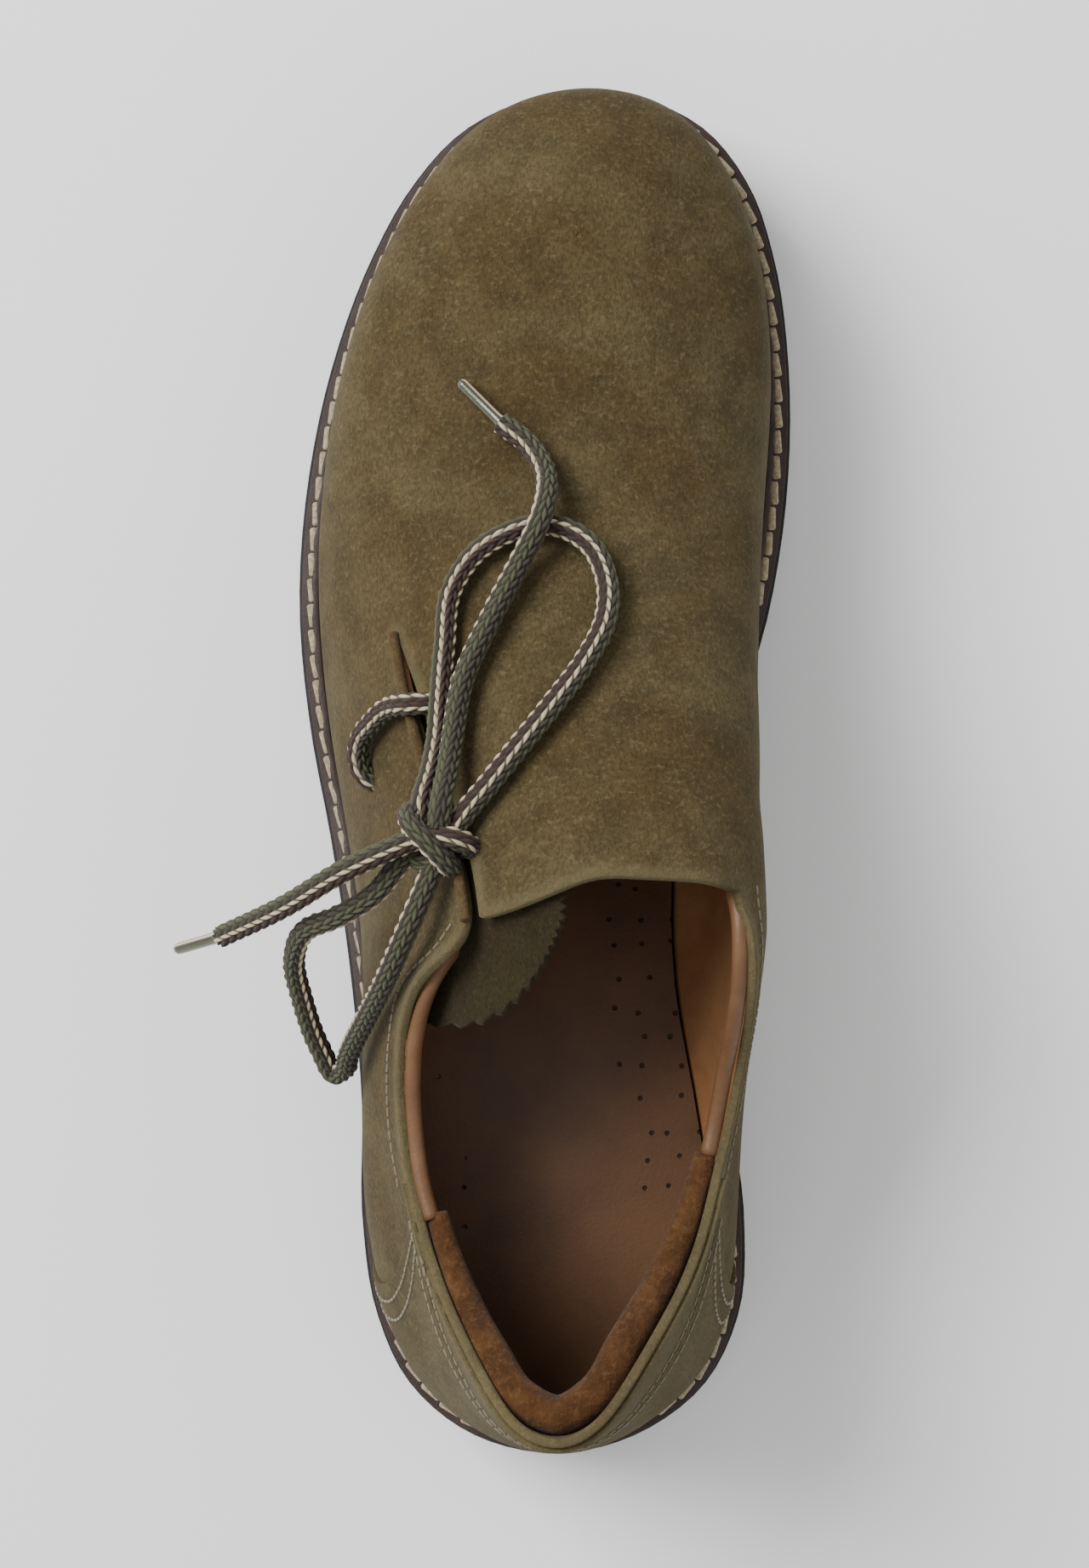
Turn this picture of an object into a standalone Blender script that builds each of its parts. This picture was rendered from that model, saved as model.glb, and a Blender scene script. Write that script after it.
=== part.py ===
"""A low haferl shoe for the left foot: suede upper laced at its outer side, on a lugged rubber sole.

Metres, +Z up. The toe points along +Y and the inner side of the foot lies at +X. The origin is on the
floor, under the middle of the sole.
"""

import math
from collections import namedtuple

import bmesh
import bpy
import numpy as np
from mathutils import Vector

# Sole
SOLE_LENGTH = 0.298
SOLE_WIDTH = 0.1088
RUBBER_AT_HEEL = 0.023
RUBBER_AT_BALL = 0.0155
WAIST_THICKNESS = 0.0088
MIDSOLE_THICKNESS = 0.0045
TOE_SPRING = 0.0135
SPRING_START = 0.042
HEEL_BREAST = -0.0685
HEEL_ROLL = 0.003
HEEL_ROLL_LENGTH = 0.012
TREAD_REAR = -0.0085
HEEL_SLOPE_END = 0.0015
SPRING_CURVE = 1.8

# Tread
LUG_PITCH = 0.0165
LUG_GAP = 0.006
LUG_LENGTH = 0.017
FORE_LUG_DEPTH = 0.0068
HEEL_LUG_DEPTH = 0.005
FORE_GAPS = 8
HEEL_GAPS = 4
FIRST_FORE_GAP = 0.119
FIRST_HEEL_GAP = -0.082
LAST_HEEL_CHANNEL = FIRST_HEEL_GAP - (HEEL_GAPS - 1.6) * LUG_PITCH
CHANNEL_WIDTH = 0.005
CHANNEL_SWING = 0.0016
GROOVE_WIDTH = 0.0022
GROOVE_DEPTH = 0.0035
GROOVES = 5
GROOVE_SPREAD = 32
TOE_GROOVES = (0.022, 0.055)
HEEL_GROOVES = (0.0105, 0.042)
DEPTH_STEP = 0.0006
BELOW_FLOOR = -0.01

# Upper
WELT_MARGIN = 0.0058
WALL = 0.002
THROAT_HEIGHT = 0.0855
THROAT_PLACE = -0.030
THROAT_TOP_PLACE = -0.0195
RIDGE_START = 0.112
SLIT_GAP = 0.0042
SLIT_SWELL = (0.12, 0.60)
RAND_WIDTH = 0.0018
RAND_HEIGHT = 0.0032
OVERLAY = 0.0013
COUNTER_HEIGHT = 0.049
INSOLE_THICKNESS = 0.003
INSOLE_CLEARANCE = 0.001
TONGUE_THICKNESS = 0.0015
TONGUE_REACH = 0.022
TONGUE_CLEARANCE = 0.0008
TONGUE_LIFT = 0.0018
COUNTER_REACH = 0.20
COUNTER_WAIST = 0.16
COUNTER_TAPER = 0.10
TAB_REACH = (0.90, 1.02)
TAB_TOP = 0.985
OVERLAY_GAP = 0.0005

# The lace, in millimetres: hand-laid routes of its visible stretches, and the knot over the slit
LACE_DIAMETER = 0.0048
AGLET_DIAMETER = 0.0025
LACE_SPACING = 0.0072
KNOT_PLACE = (-21.4, -13.0, 93.5)
KNOT_HALF_SIZES = (6.2, 5.4, 4.5)
LACE_ROUTES = {
    "lace_front_end": [
        (-20.6, -6.6, 96.3), (-19.4, 0.0, 93.0), (-18.5, 6.4, 89.6), (-16.3, 18.9, 86.0),
        (-10.8, 31.4, 84.0), (-4.6, 43.5, 82.6), (-1.4, 50.0, 83.9), (0.2, 55.5, 81.6),
        (0.2, 61.0, 77.7), (-3.3, 67.4, 73.9), (-9.0, 72.0, 72.4),
    ],
    "aglet_front": [(-9.3, 72.3, 72.3), (-13.3, 76.5, 71.0), (-17.5, 80.8, 70.0)],
    "lace_front_loop": [
        (-24.6, -6.8, 91.8), (-22.8, 0.5, 87.6), (-21.6, 7.0, 84.7), (-21.2, 13.0, 82.8),
        (-20.3, 25.3, 79.5),
        (-18.6, 38.0, 77.0), (-14.2, 44.6, 77.7), (-7.4, 48.9, 78.6), (-2.2, 50.4, 78.6),
        (3.2, 50.0, 79.1), (9.2, 46.3, 80.4), (12.4, 39.6, 83.1), (12.2, 31.0, 87.0),
        (8.1, 22.6, 90.5), (1.9, 14.2, 94.0), (-6.0, 4.3, 95.6), (-11.2, -2.2, 95.7),
        (-15.2, -7.0, 94.8),
    ],
    "lace_back_end": [
        (-28.4, -14.0, 95.7), (-38.6, -18.6, 94.0), (-51.9, -26.4, 85.0), (-66.4, -33.3, 70.8),
    ],
    "aglet_back": [(-66.8, -33.4, 70.4), (-71.8, -34.9, 66.3), (-76.7, -36.4, 62.0)],
    "lace_back_loop": [
        (-26.9, -15.8, 91.2), (-34.0, -24.0, 89.0), (-41.5, -28.6, 85.6), (-48.3, -31.6, 80.4),
        (-51.2, -37.6, 73.0), (-50.2, -46.6, 64.5), (-47.0, -57.6, 55.8), (-44.2, -63.0, 52.4),
        (-42.0, -61.8, 55.4), (-40.9, -58.4, 61.0), (-36.6, -50.0, 74.0), (-31.8, -41.0, 86.0),
        (-27.2, -30.6, 92.0), (-22.3, -18.8, 92.8),
    ],
}

# Clearance between pieces that touch
GAP = 0.0003
BAR_CLEARANCE = 0.0006

# Places on the upper under the lace's stretch over the outer lip: round the foot, and up the wall
BarPlace = namedtuple("BarPlace", "at v")
LACE_BAR = [
    BarPlace(-0.475, 1.02),
    BarPlace(-0.475, 0.90),
    BarPlace(-0.480, 0.80),
    BarPlace(-0.485, 0.72),
    BarPlace(-0.494, 0.67),
    BarPlace(-0.505, 0.65),
]

# The tongue's front end and its place at the throat: round the foot, and both its edges up the wall
TongueRow = namedtuple("TongueRow", "at low high")
TONGUE = [
    TongueRow(-0.405, 0.72, 1.38),
    TongueRow(-0.580, 0.84, 1.78),
]
TONGUE_TAPER = 0.94

# How finely the upper is divided
FRONT_COLUMNS = 20
REAR_COLUMNS = 18
LOW_ROWS = 9
HIGH_ROWS = 5
THROAT = 0.58
SLIT_COLUMN = 15
RAND_COLUMNS = 90
FAN = 1.6
CROWN = 0.46
REACH = 0.34
END_SHARE = 0.9997

# The sole's outline, as shares of half its length and half its width
OutlineRow = namedtuple("OutlineRow", "along outer inner")
OUTLINE = [
    OutlineRow(0.940, -0.340, 0.662),
    OutlineRow(0.860, -0.544, 0.831),
    OutlineRow(0.762, -0.699, 0.926),
    OutlineRow(0.617, -0.853, 0.987),
    OutlineRow(0.443, -0.961, 0.991),
    OutlineRow(0.255, -1.000, 0.921),
    OutlineRow(0.067, -0.954, 0.775),
    OutlineRow(-0.100, -0.868, 0.662),
    OutlineRow(-0.282, -0.790, 0.652),
    OutlineRow(-0.483, -0.738, 0.741),
    OutlineRow(-0.658, -0.735, 0.805),
    OutlineRow(-0.792, -0.678, 0.783),
    OutlineRow(-0.893, -0.551, 0.654),
    OutlineRow(-0.966, -0.322, 0.404),
]
TIP_ACROSS = 0.178
HEEL_ACROSS = 0.046

# The upper's shoulder line, from the heel along the outer side to the toe tip and back along the inner
# side. at: place round the foot. along and across: shares of half the sole. height: share of the rise at
# the throat. lean: degrees off upright there. hold, swell and lift: shares of the rise, for the wall.
Section = namedtuple("Section", "at along across height lean hold swell lift")
SECTIONS = [
    Section(-1.000, -0.884, 0.053, 0.915, 6, 0.42, 0.045, 0.26),
    Section(-0.966, -0.868, -0.103, 0.885, 6, 0.38, 0.050, 0.24),
    Section(-0.916, -0.777, -0.285, 0.745, 9, 0.30, 0.062, 0.21),
    Section(-0.853, -0.668, -0.435, 0.575, 14, 0.22, 0.085, 0.17),
    Section(-0.790, -0.550, -0.521, 0.525, 18, 0.20, 0.118, 0.16),
    Section(-0.719, -0.416, -0.551, 0.565, 20, 0.21, 0.120, 0.16),
    Section(-0.643, -0.277, -0.484, 0.735, 23, 0.24, 0.090, 0.18),
    Section(-0.580, -0.192, -0.258, 0.862, 40, 0.30, 0.070, 0.20),
    Section(-0.510, 0.000, -0.405, 0.700, 42, 0.26, 0.055, 0.19),
    Section(-0.430, 0.208, -0.575, 0.510, 44, 0.20, 0.038, 0.17),
    Section(-0.350, 0.400, -0.690, 0.425, 48, 0.16, 0.030, 0.16),
    Section(-0.240, 0.618, -0.650, 0.385, 50, 0.13, 0.022, 0.15),
    Section(-0.140, 0.800, -0.440, 0.340, 50, 0.11, 0.018, 0.14),
    Section(-0.060, 0.920, -0.150, 0.305, 50, 0.10, 0.020, 0.13),
    Section(0.000, 0.950, 0.160, 0.295, 50, 0.10, 0.025, 0.13),
    Section(0.060, 0.925, 0.456, 0.305, 50, 0.10, 0.020, 0.13),
    Section(0.140, 0.805, 0.695, 0.340, 50, 0.10, 0.008, 0.14),
    Section(0.240, 0.630, 0.795, 0.390, 48, 0.11, 0.000, 0.15),
    Section(0.350, 0.385, 0.765, 0.470, 46, 0.11, 0.000, 0.17),
    Section(0.430, 0.215, 0.758, 0.585, 44, 0.12, 0.048, 0.18),
    Section(0.510, 0.030, 0.752, 0.735, 42, 0.13, 0.140, 0.20),
    Section(0.580, -0.140, 0.752, 0.888, 36, 0.16, 0.185, 0.22),
    Section(0.643, -0.270, 0.772, 0.845, 12, 0.26, 0.165, 0.20),
    Section(0.719, -0.405, 0.744, 0.615, 6, 0.22, 0.110, 0.16),
    Section(0.790, -0.540, 0.669, 0.560, 8, 0.20, 0.080, 0.15),
    Section(0.853, -0.660, 0.570, 0.648, 12, 0.25, 0.062, 0.18),
    Section(0.916, -0.765, 0.393, 0.812, 12, 0.32, 0.055, 0.22),
    Section(0.966, -0.862, 0.197, 0.900, 8, 0.38, 0.050, 0.24),
    Section(1.000, -0.884, 0.053, 0.915, 6, 0.42, 0.045, 0.26),
]

# The ridge over toe and instep: along and across as above, height as a share of the rise at the throat
Ridge = namedtuple("Ridge", "along across height")
RIDGE = [
    Ridge(-0.131, 0.185, 1.000),
    Ridge(-0.030, 0.180, 0.925),
    Ridge(0.060, 0.172, 0.855),
    Ridge(0.148, 0.165, 0.780),
    Ridge(0.248, 0.155, 0.702),
    Ridge(0.369, 0.140, 0.620),
    Ridge(0.483, 0.130, 0.556),
    Ridge(0.597, 0.120, 0.528),
    Ridge(0.752, 0.115, 0.507),
]


def smooth(rows, at, period=None):
    """The rows' columns at a place between them, on a smooth curve through every row."""
    knots = [row[0] for row in rows]
    count = len(rows) - 1
    if period:
        at = knots[0] + (at - knots[0]) % period
    at = min(max(at, knots[0]), knots[-1])
    i = min(max(int(np.searchsorted(knots, at, side="right")) - 1, 0), count - 1)

    def row(k):
        if period:
            turns, rest = divmod(k, count)
            return knots[rest] + turns * period, np.array(rows[rest][1:], float)
        k = min(max(k, 0), count)
        return knots[k], np.array(rows[k][1:], float)

    def slope(k):
        (k0, v0), (k1, v1), (k2, v2) = row(k - 1), row(k), row(k + 1)
        if k1 == k0:
            return (v2 - v1) / (k2 - k1)
        if k2 == k1:
            return (v1 - v0) / (k1 - k0)
        return ((v1 - v0) / (k1 - k0) * (k2 - k1) + (v2 - v1) / (k2 - k1) * (k1 - k0)) / (k2 - k0)

    (start, first), (end, last) = row(i), row(i + 1)
    span = end - start
    t = (at - start) / span
    a = first * (2 * t**3 - 3 * t**2 + 1) + last * (3 * t**2 - 2 * t**3)
    return a + span * (slope(i) * (t**3 - 2 * t**2 + t) + slope(i + 1) * (t**3 - t**2))


def ease(t):
    """0 to 1, level at both ends."""
    t = min(max(t, 0.0), 1.0)
    return t * t * (3 - 2 * t)


def bezier(a, b, c, d, t):
    s = 1 - t
    return a * s**3 + b * 3 * s * s * t + c * 3 * s * t * t + d * t**3


class Edge:
    """The sole's outline, read by place round the foot or by distance along the shoe."""

    def __init__(self):
        half_length, half_width = SOLE_LENGTH / 2, SOLE_WIDTH / 2
        outer = [(row.outer * half_width, row.along * half_length) for row in OUTLINE]
        inner = [(row.inner * half_width, row.along * half_length) for row in OUTLINE]
        tip = (TIP_ACROSS * half_width, half_length)
        heel = (HEEL_ACROSS * half_width, -half_length)
        corners = [heel, *reversed(outer), tip, *inner, heel]
        rows, length = [], 0.0
        for k, corner in enumerate(corners):
            length += math.dist(corner, corners[k - 1]) if k else 0.0
            rows.append((length, *corner))
        places = np.linspace(0, length, 1441)
        points = np.array([smooth(rows, place, period=length) for place in places[:-1]])
        points[:, 0] -= (points[:, 0].min() + points[:, 0].max()) / 2
        points[:, 1] *= SOLE_LENGTH / np.ptp(points[:, 1])
        points[:, 1] -= (points[:, 1].min() + points[:, 1].max()) / 2
        points[:, 0] *= SOLE_WIDTH / np.ptp(points[:, 0])
        turn = np.roll(points, -1, axis=0) - np.roll(points, 1, axis=0)
        normals = np.stack([-turn[:, 1], turn[:, 0]], axis=1)
        self.normals = normals / np.linalg.norm(normals, axis=1)[:, None]
        self.points = points
        steps = np.linalg.norm(np.diff(points, axis=0, append=points[:1]), axis=1)
        self.arcs = np.concatenate([[0], np.cumsum(steps)])
        self.tip = int(points[:, 1].argmax())
        self.tip_arc = self.arcs[self.tip]
        self.throat_arcs = [self.arc_at(side, THROAT_PLACE) for side in (-1, 1)]

    def half(self, side, inset=0.0):
        """Points of one side, from heel to tip."""
        points = self.points - self.normals * inset
        closed = np.concatenate([points, points[:1]])
        return closed[: self.tip + 1] if side < 0 else closed[self.tip :][::-1]

    def arc_at(self, side, along):
        half = self.half(side)
        arcs = self.arcs[: self.tip + 1] if side < 0 else self.arcs[self.tip :][::-1]
        return float(np.interp(along, half[:, 1], arcs))

    def across(self, side, along, inset=0.0):
        half = self.half(side, inset)
        order = np.argsort(half[:, 1])
        return float(np.interp(along, half[order, 1], half[order, 0]))

    def place(self, at):
        """Outline point and outward normal at a place round the foot."""
        side = -1 if at < 0 else 1
        end = 0.0 if side < 0 else self.arcs[-1]
        throat = self.throat_arcs[0 if side < 0 else 1]
        share = abs(at)
        if share < THROAT:
            arc = self.tip_arc + (throat - self.tip_arc) * share / THROAT
        else:
            arc = throat + (end - throat) * (share - THROAT) / (1 - THROAT)
        arcs = self.arcs
        wrap = [np.append(self.points[:, k], self.points[0, k]) for k in (0, 1)]
        turned = [np.append(self.normals[:, k], self.normals[0, k]) for k in (0, 1)]
        point = Vector((np.interp(arc, arcs, wrap[0]), np.interp(arc, arcs, wrap[1]), 0))
        normal = Vector((np.interp(arc, arcs, turned[0]), np.interp(arc, arcs, turned[1]), 0))
        return point, normal.normalized()


EDGE = Edge()


def spring(along):
    """How far the sole's toe end curves up off the floor."""
    share = max(0.0, (along - SPRING_START) / (SOLE_LENGTH / 2 - SPRING_START))
    return TOE_SPRING * share**SPRING_CURVE


def ground(along):
    """The tread's underside: level from heel to ball, up at the toe and a little at the heel's rear."""
    share = (HEEL_ROLL_LENGTH - SOLE_LENGTH / 2 - along) / HEEL_ROLL_LENGTH
    return spring(along) + HEEL_ROLL * max(0.0, share) ** 2


def rubber_top(along):
    share = (HEEL_SLOPE_END - along) / (HEEL_SLOPE_END - HEEL_BREAST)
    return RUBBER_AT_BALL + (RUBBER_AT_HEEL - RUBBER_AT_BALL) * ease(share) + spring(along)


def midsole_top(along):
    return rubber_top(along) + GAP + MIDSOLE_THICKNESS


def foot_of_upper(along):
    return midsole_top(along) + GAP


def material(name, colour, roughness):
    made = bpy.data.materials.new(name)
    made.use_nodes = True
    shader = made.node_tree.nodes["Principled BSDF"]
    shader.inputs["Base Color"].default_value = (*colour, 1)
    shader.inputs["Roughness"].default_value = roughness
    return made


def mesh_object(name, points, faces, look):
    """A closed mesh object with its faces turned outwards."""
    made = bmesh.new()
    corners = [made.verts.new(point) for point in points]
    for face in faces:
        made.faces.new([corners[k] for k in face])
    bmesh.ops.recalc_face_normals(made, faces=made.faces)
    mesh = bpy.data.meshes.new(name)
    made.to_mesh(mesh)
    made.free()
    obj = bpy.data.objects.new(name, mesh)
    bpy.context.scene.collection.objects.link(obj)
    if look:
        obj.data.materials.append(look)
    return obj


def shade(obj, angle=40):
    obj.data.shade_smooth()
    obj.data.set_sharp_from_angle(angle=math.radians(angle))


def stations(count):
    """Distances along the shoe, closer together at both ends."""
    return [-SOLE_LENGTH / 2 * math.cos(math.pi * k / count) for k in range(count + 1)]


def slab(name, inset, bottom, top, look, count=56):
    """A layer of the sole between two height functions, its outline moved inwards by inset."""
    points, faces = [], []
    reach = SOLE_LENGTH / 2 - inset
    for place in stations(count):
        along = place * reach / (SOLE_LENGTH / 2)
        read = max(min(along, reach * END_SHARE), -reach * END_SHARE)
        ends = [EDGE.across(side, read, inset) for side in (-1, 1)]
        for height in (bottom(along), top(along)):
            points += [(x, along, height) for x in ends]
    for k in range(count):
        a, b = 4 * k, 4 * k + 4
        faces += [(a, b, b + 1, a + 1), (a + 2, a + 3, b + 3, b + 2)]
        faces += [(a, a + 2, b + 2, b), (a + 1, b + 1, b + 3, a + 3)]
    last = 4 * count
    faces += [(0, 1, 3, 2), (last, last + 2, last + 3, last + 1)]
    return mesh_object(name, points, faces, look)


def prism(corners, low, high):
    """Points and faces of an upright block over a ring of plan corners, with its top at high(y)."""
    count = len(corners)
    points = [(x, y, low) for x, y in corners] + [(x, y, high(y)) for x, y in corners]
    faces = [tuple(range(count)), tuple(range(count, 2 * count))]
    faces += [(k, (k + 1) % count, count + (k + 1) % count, count + k) for k in range(count)]
    return points, faces


def cutter(name, blocks):
    """One hidden object that holds separate blocks."""
    points, faces = [], []
    for more_points, more_faces in blocks:
        first = len(points)
        points += more_points
        faces += [tuple(first + k for k in face) for face in more_faces]
    obj = mesh_object(name, points, faces, None)
    obj.hide_render = True
    obj.display_type = "WIRE"
    return obj


def ribbon(centre, width, depth):
    """Block under a winding channel, in one piece per stretch so that its top follows the toe's curve."""
    left = [(x - width / 2, y) for x, y in centre]
    right = [(x + width / 2, y) for x, y in centre]
    points, faces = [], []
    for side in (left, right):
        points += [(x, y, BELOW_FLOOR) for x, y in side]
        points += [(x, y, depth + spring(y)) for x, y in side]
    count = len(centre)
    low_left, high_left, low_right, high_right = 0, count, 2 * count, 3 * count
    for k in range(count - 1):
        n = k + 1
        faces += [(low_left + k, low_left + n, high_left + n, high_left + k)]
        faces += [(low_right + k, low_right + n, high_right + n, high_right + k)]
        faces += [(low_left + k, low_left + n, low_right + n, low_right + k)]
        faces += [(high_left + k, high_left + n, high_right + n, high_right + k)]
    for k in (0, count - 1):
        faces += [(low_left + k, high_left + k, high_right + k, low_right + k)]
    return points, faces


def tread_gaps():
    """Distances along the shoe of the gaps between the side lugs, with the depth there."""
    fore = [(FIRST_FORE_GAP - k * LUG_PITCH, FORE_LUG_DEPTH) for k in range(FORE_GAPS)]
    heel = [(FIRST_HEEL_GAP - k * LUG_PITCH, HEEL_LUG_DEPTH) for k in range(HEEL_GAPS)]
    return fore + heel


def side_gap_blocks():
    blocks = []
    for along, depth in tread_gaps():
        for side in (-1, 1):
            near = EDGE.across(side, along, LUG_LENGTH)
            far = EDGE.across(side, along) + side * LUG_GAP
            ends = (along - LUG_GAP / 2, along + LUG_GAP / 2)
            corners = [(near, ends[0]), (far, ends[0]), (far, ends[1]), (near, ends[1])]
            blocks.append(prism(corners, BELOW_FLOOR, lambda y, d=depth: d + spring(y)))
    return blocks


def cross_gap_blocks():
    """Gaps between the middle blocks, half a pitch behind those of the side lugs."""
    blocks = []
    gaps = tread_gaps()
    for (along, depth), (following, _) in zip(gaps, gaps[1:]):
        if abs(along - following) > 1.5 * LUG_PITCH:
            continue
        middle = (along + following) / 2
        left, right = (EDGE.across(side, middle, LUG_LENGTH) for side in (-1, 1))
        ends = (middle - LUG_GAP / 3, middle + LUG_GAP / 3)
        corners = [(left, ends[0]), (right, ends[0]), (right, ends[1]), (left, ends[1])]
        blocks.append(prism(corners, BELOW_FLOOR, lambda y, d=depth: d - DEPTH_STEP + spring(y)))
    return blocks


def channel_blocks():
    """Winding channels between side lugs and middle blocks, and along the forefoot's middle."""
    blocks = []
    stretches = (
        (FIRST_FORE_GAP + LUG_PITCH / 4, TREAD_REAR - LUG_GAP, FORE_LUG_DEPTH, (-1, 0, 1)),
        (HEEL_BREAST + LUG_GAP, LAST_HEEL_CHANNEL, HEEL_LUG_DEPTH, (-1, 1)),
    )
    for front, rear, depth, lanes in stretches:
        steps = max(2, round((front - rear) / (LUG_PITCH / 2)))
        for lane in lanes:
            centre = []
            for k in range(steps + 1):
                along = front + (rear - front) * k / steps
                edges = [EDGE.across(side, along, LUG_LENGTH) for side in (-1, 1)]
                across = sum(edges) / 2 if lane == 0 else edges[(lane + 1) // 2]
                centre.append((across + CHANNEL_SWING * (1 if k % 2 else -1), along))
            blocks.append(ribbon(centre, CHANNEL_WIDTH, depth + DEPTH_STEP))
    return blocks


def groove_blocks():
    """Narrow grooves that fan out to the toe's and the heel's ends."""
    blocks = []
    fans = (
        (TIP_ACROSS, FIRST_FORE_GAP - LUG_PITCH, 1, TOE_GROOVES),
        (HEEL_ACROSS, FIRST_HEEL_GAP - (HEEL_GAPS - 2) * LUG_PITCH, -1, HEEL_GROOVES),
    )
    for share, along, way, (start, end) in fans:
        for k in range(GROOVES):
            turn = math.radians(GROOVE_SPREAD * (2 * k / (GROOVES - 1) - 1))
            aim = Vector((math.sin(turn), way * math.cos(turn)))
            beside = Vector((aim.y, -aim.x)) * GROOVE_WIDTH / 2
            centre = Vector((share * SOLE_WIDTH / 2, along))
            near, far = centre + aim * start, centre + aim * end
            corners = [near - beside, far - beside, far + beside, near + beside]
            plan = [(corner.x, corner.y) for corner in corners]
            blocks.append(prism(plan, BELOW_FLOOR, lambda y: GROOVE_DEPTH + ground(y)))
    return blocks


def waist_blocks():
    """The space under the waist, between the heel block and the forefoot's tread."""
    count = 8
    places = [HEEL_BREAST + (TREAD_REAR - HEEL_BREAST) * k / count for k in range(count + 1)]
    points, faces = [], []
    for along in places:
        high = rubber_top(along) - WAIST_THICKNESS
        points += [(x, along, z) for x, z in ((-SOLE_WIDTH, BELOW_FLOOR), (SOLE_WIDTH, BELOW_FLOOR))]
        points += [(x, along, z) for x, z in ((SOLE_WIDTH, high), (-SOLE_WIDTH, high))]
    for k in range(count):
        a, b = 4 * k, 4 * k + 4
        faces += [(a + j, a + (j + 1) % 4, b + (j + 1) % 4, b + j) for j in range(4)]
    faces += [(0, 1, 2, 3), (4 * count, 4 * count + 3, 4 * count + 2, 4 * count + 1)]
    return [(points, faces)]


def make_outsole(look):
    obj = slab("outsole", 0.0, ground, rubber_top, look, count=68)
    cuts = {
        "cut_waist": waist_blocks(),
        "cut_channels": channel_blocks(),
        "cut_side_gaps": side_gap_blocks(),
        "cut_cross_gaps": cross_gap_blocks(),
        "cut_grooves": groove_blocks(),
    }
    for name, blocks in cuts.items():
        cut = obj.modifiers.new(name, "BOOLEAN")
        cut.operation = "DIFFERENCE"
        cut.object = cutter(name, blocks)
        cut.solver = "MANIFOLD"
    return obj


def ridge(at):
    """The point over the toe or instep that a section of the upper rises to."""
    share = max(abs(at), THROAT / FRONT_COLUMNS) / THROAT
    along = RIDGE_START + (THROAT_TOP_PLACE - RIDGE_START) * min(share, 1.0) ** FAN
    across, height = smooth(RIDGE, along / (SOLE_LENGTH / 2))
    level = foot_of_upper(along) + height * THROAT_HEIGHT
    return Vector((across * SOLE_WIDTH / 2, along, level))


def wall_curve(at):
    """Control points of the wall from welt to shoulder line, and the direction it leaves in."""
    along, across, height, lean, hold, swell, lift = smooth(SECTIONS, at, period=2.0)
    edge, out = EDGE.place(max(min(at, 1.0), -1.0))
    foot = edge - out * WELT_MARGIN
    foot.z = foot_of_upper(foot.y)
    up = Vector((0, 0, 1))
    shoulder = Vector((across * SOLE_WIDTH / 2, along * SOLE_LENGTH / 2, 0))
    shoulder.z = foot_of_upper(shoulder.y) + height * THROAT_HEIGHT
    leaving = up * math.cos(math.radians(lean)) - out * math.sin(math.radians(lean))
    low = foot + out * swell * THROAT_HEIGHT + up * lift * THROAT_HEIGHT
    high = shoulder - leaving * hold * THROAT_HEIGHT
    return foot, low, high, shoulder, leaving


def surface(at, v):
    """The upper's outer face. v runs from 0 at the welt to 1 at the shoulder line and 2 at the ridge."""
    foot, low, high, shoulder, leaving = wall_curve(at)
    if v <= 1:
        return bezier(foot, low, high, shoulder, v)
    top = ridge(at)
    span = (top - shoulder).length
    flat = Vector((shoulder.x - top.x, shoulder.y - top.y, 0))
    return bezier(shoulder, shoulder + leaving * span * REACH, top + flat * CROWN, top, v - 1)


def outward(at, v):
    """The outer face's unit normal."""
    step = 0.004
    low, high = (v - step, v) if v > 1 - step and v <= 1 else (v, v + step)
    along = surface(at + step, v) - surface(at - step, v)
    rise = surface(at, high) - surface(at, low)
    return along.cross(rise).normalized() * -1


def offset(at, v, distance):
    return surface(at, v) + outward(at, v) * distance


def column_places():
    """Places of the columns from the tip to the heel, the throat's among them."""
    front = [THROAT * k / FRONT_COLUMNS for k in range(FRONT_COLUMNS + 1)]
    rear = [THROAT + (1 - THROAT) * k / REAR_COLUMNS for k in range(1, REAR_COLUMNS + 1)]
    return front + rear


def slit_share(column):
    """How far open the lacing slit is at a column: closed at its front end, widest past the middle."""
    share = (column - SLIT_COLUMN) / (FRONT_COLUMNS - SLIT_COLUMN)
    start, growth = SLIT_SWELL
    return math.sin(math.pi * (start + growth * share)) if share > 0 else 0.0


def slit_edge(at, opened, way):
    """Place up the wall of the slit's lower or upper edge, half its width from the shoulder line."""
    row = way / (LOW_ROWS if way < 0 else HIGH_ROWS)
    step = (surface(at, 1 + row) - surface(at, 1.0)).length
    return 1 + row * opened * SLIT_GAP / 2 / step


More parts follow.
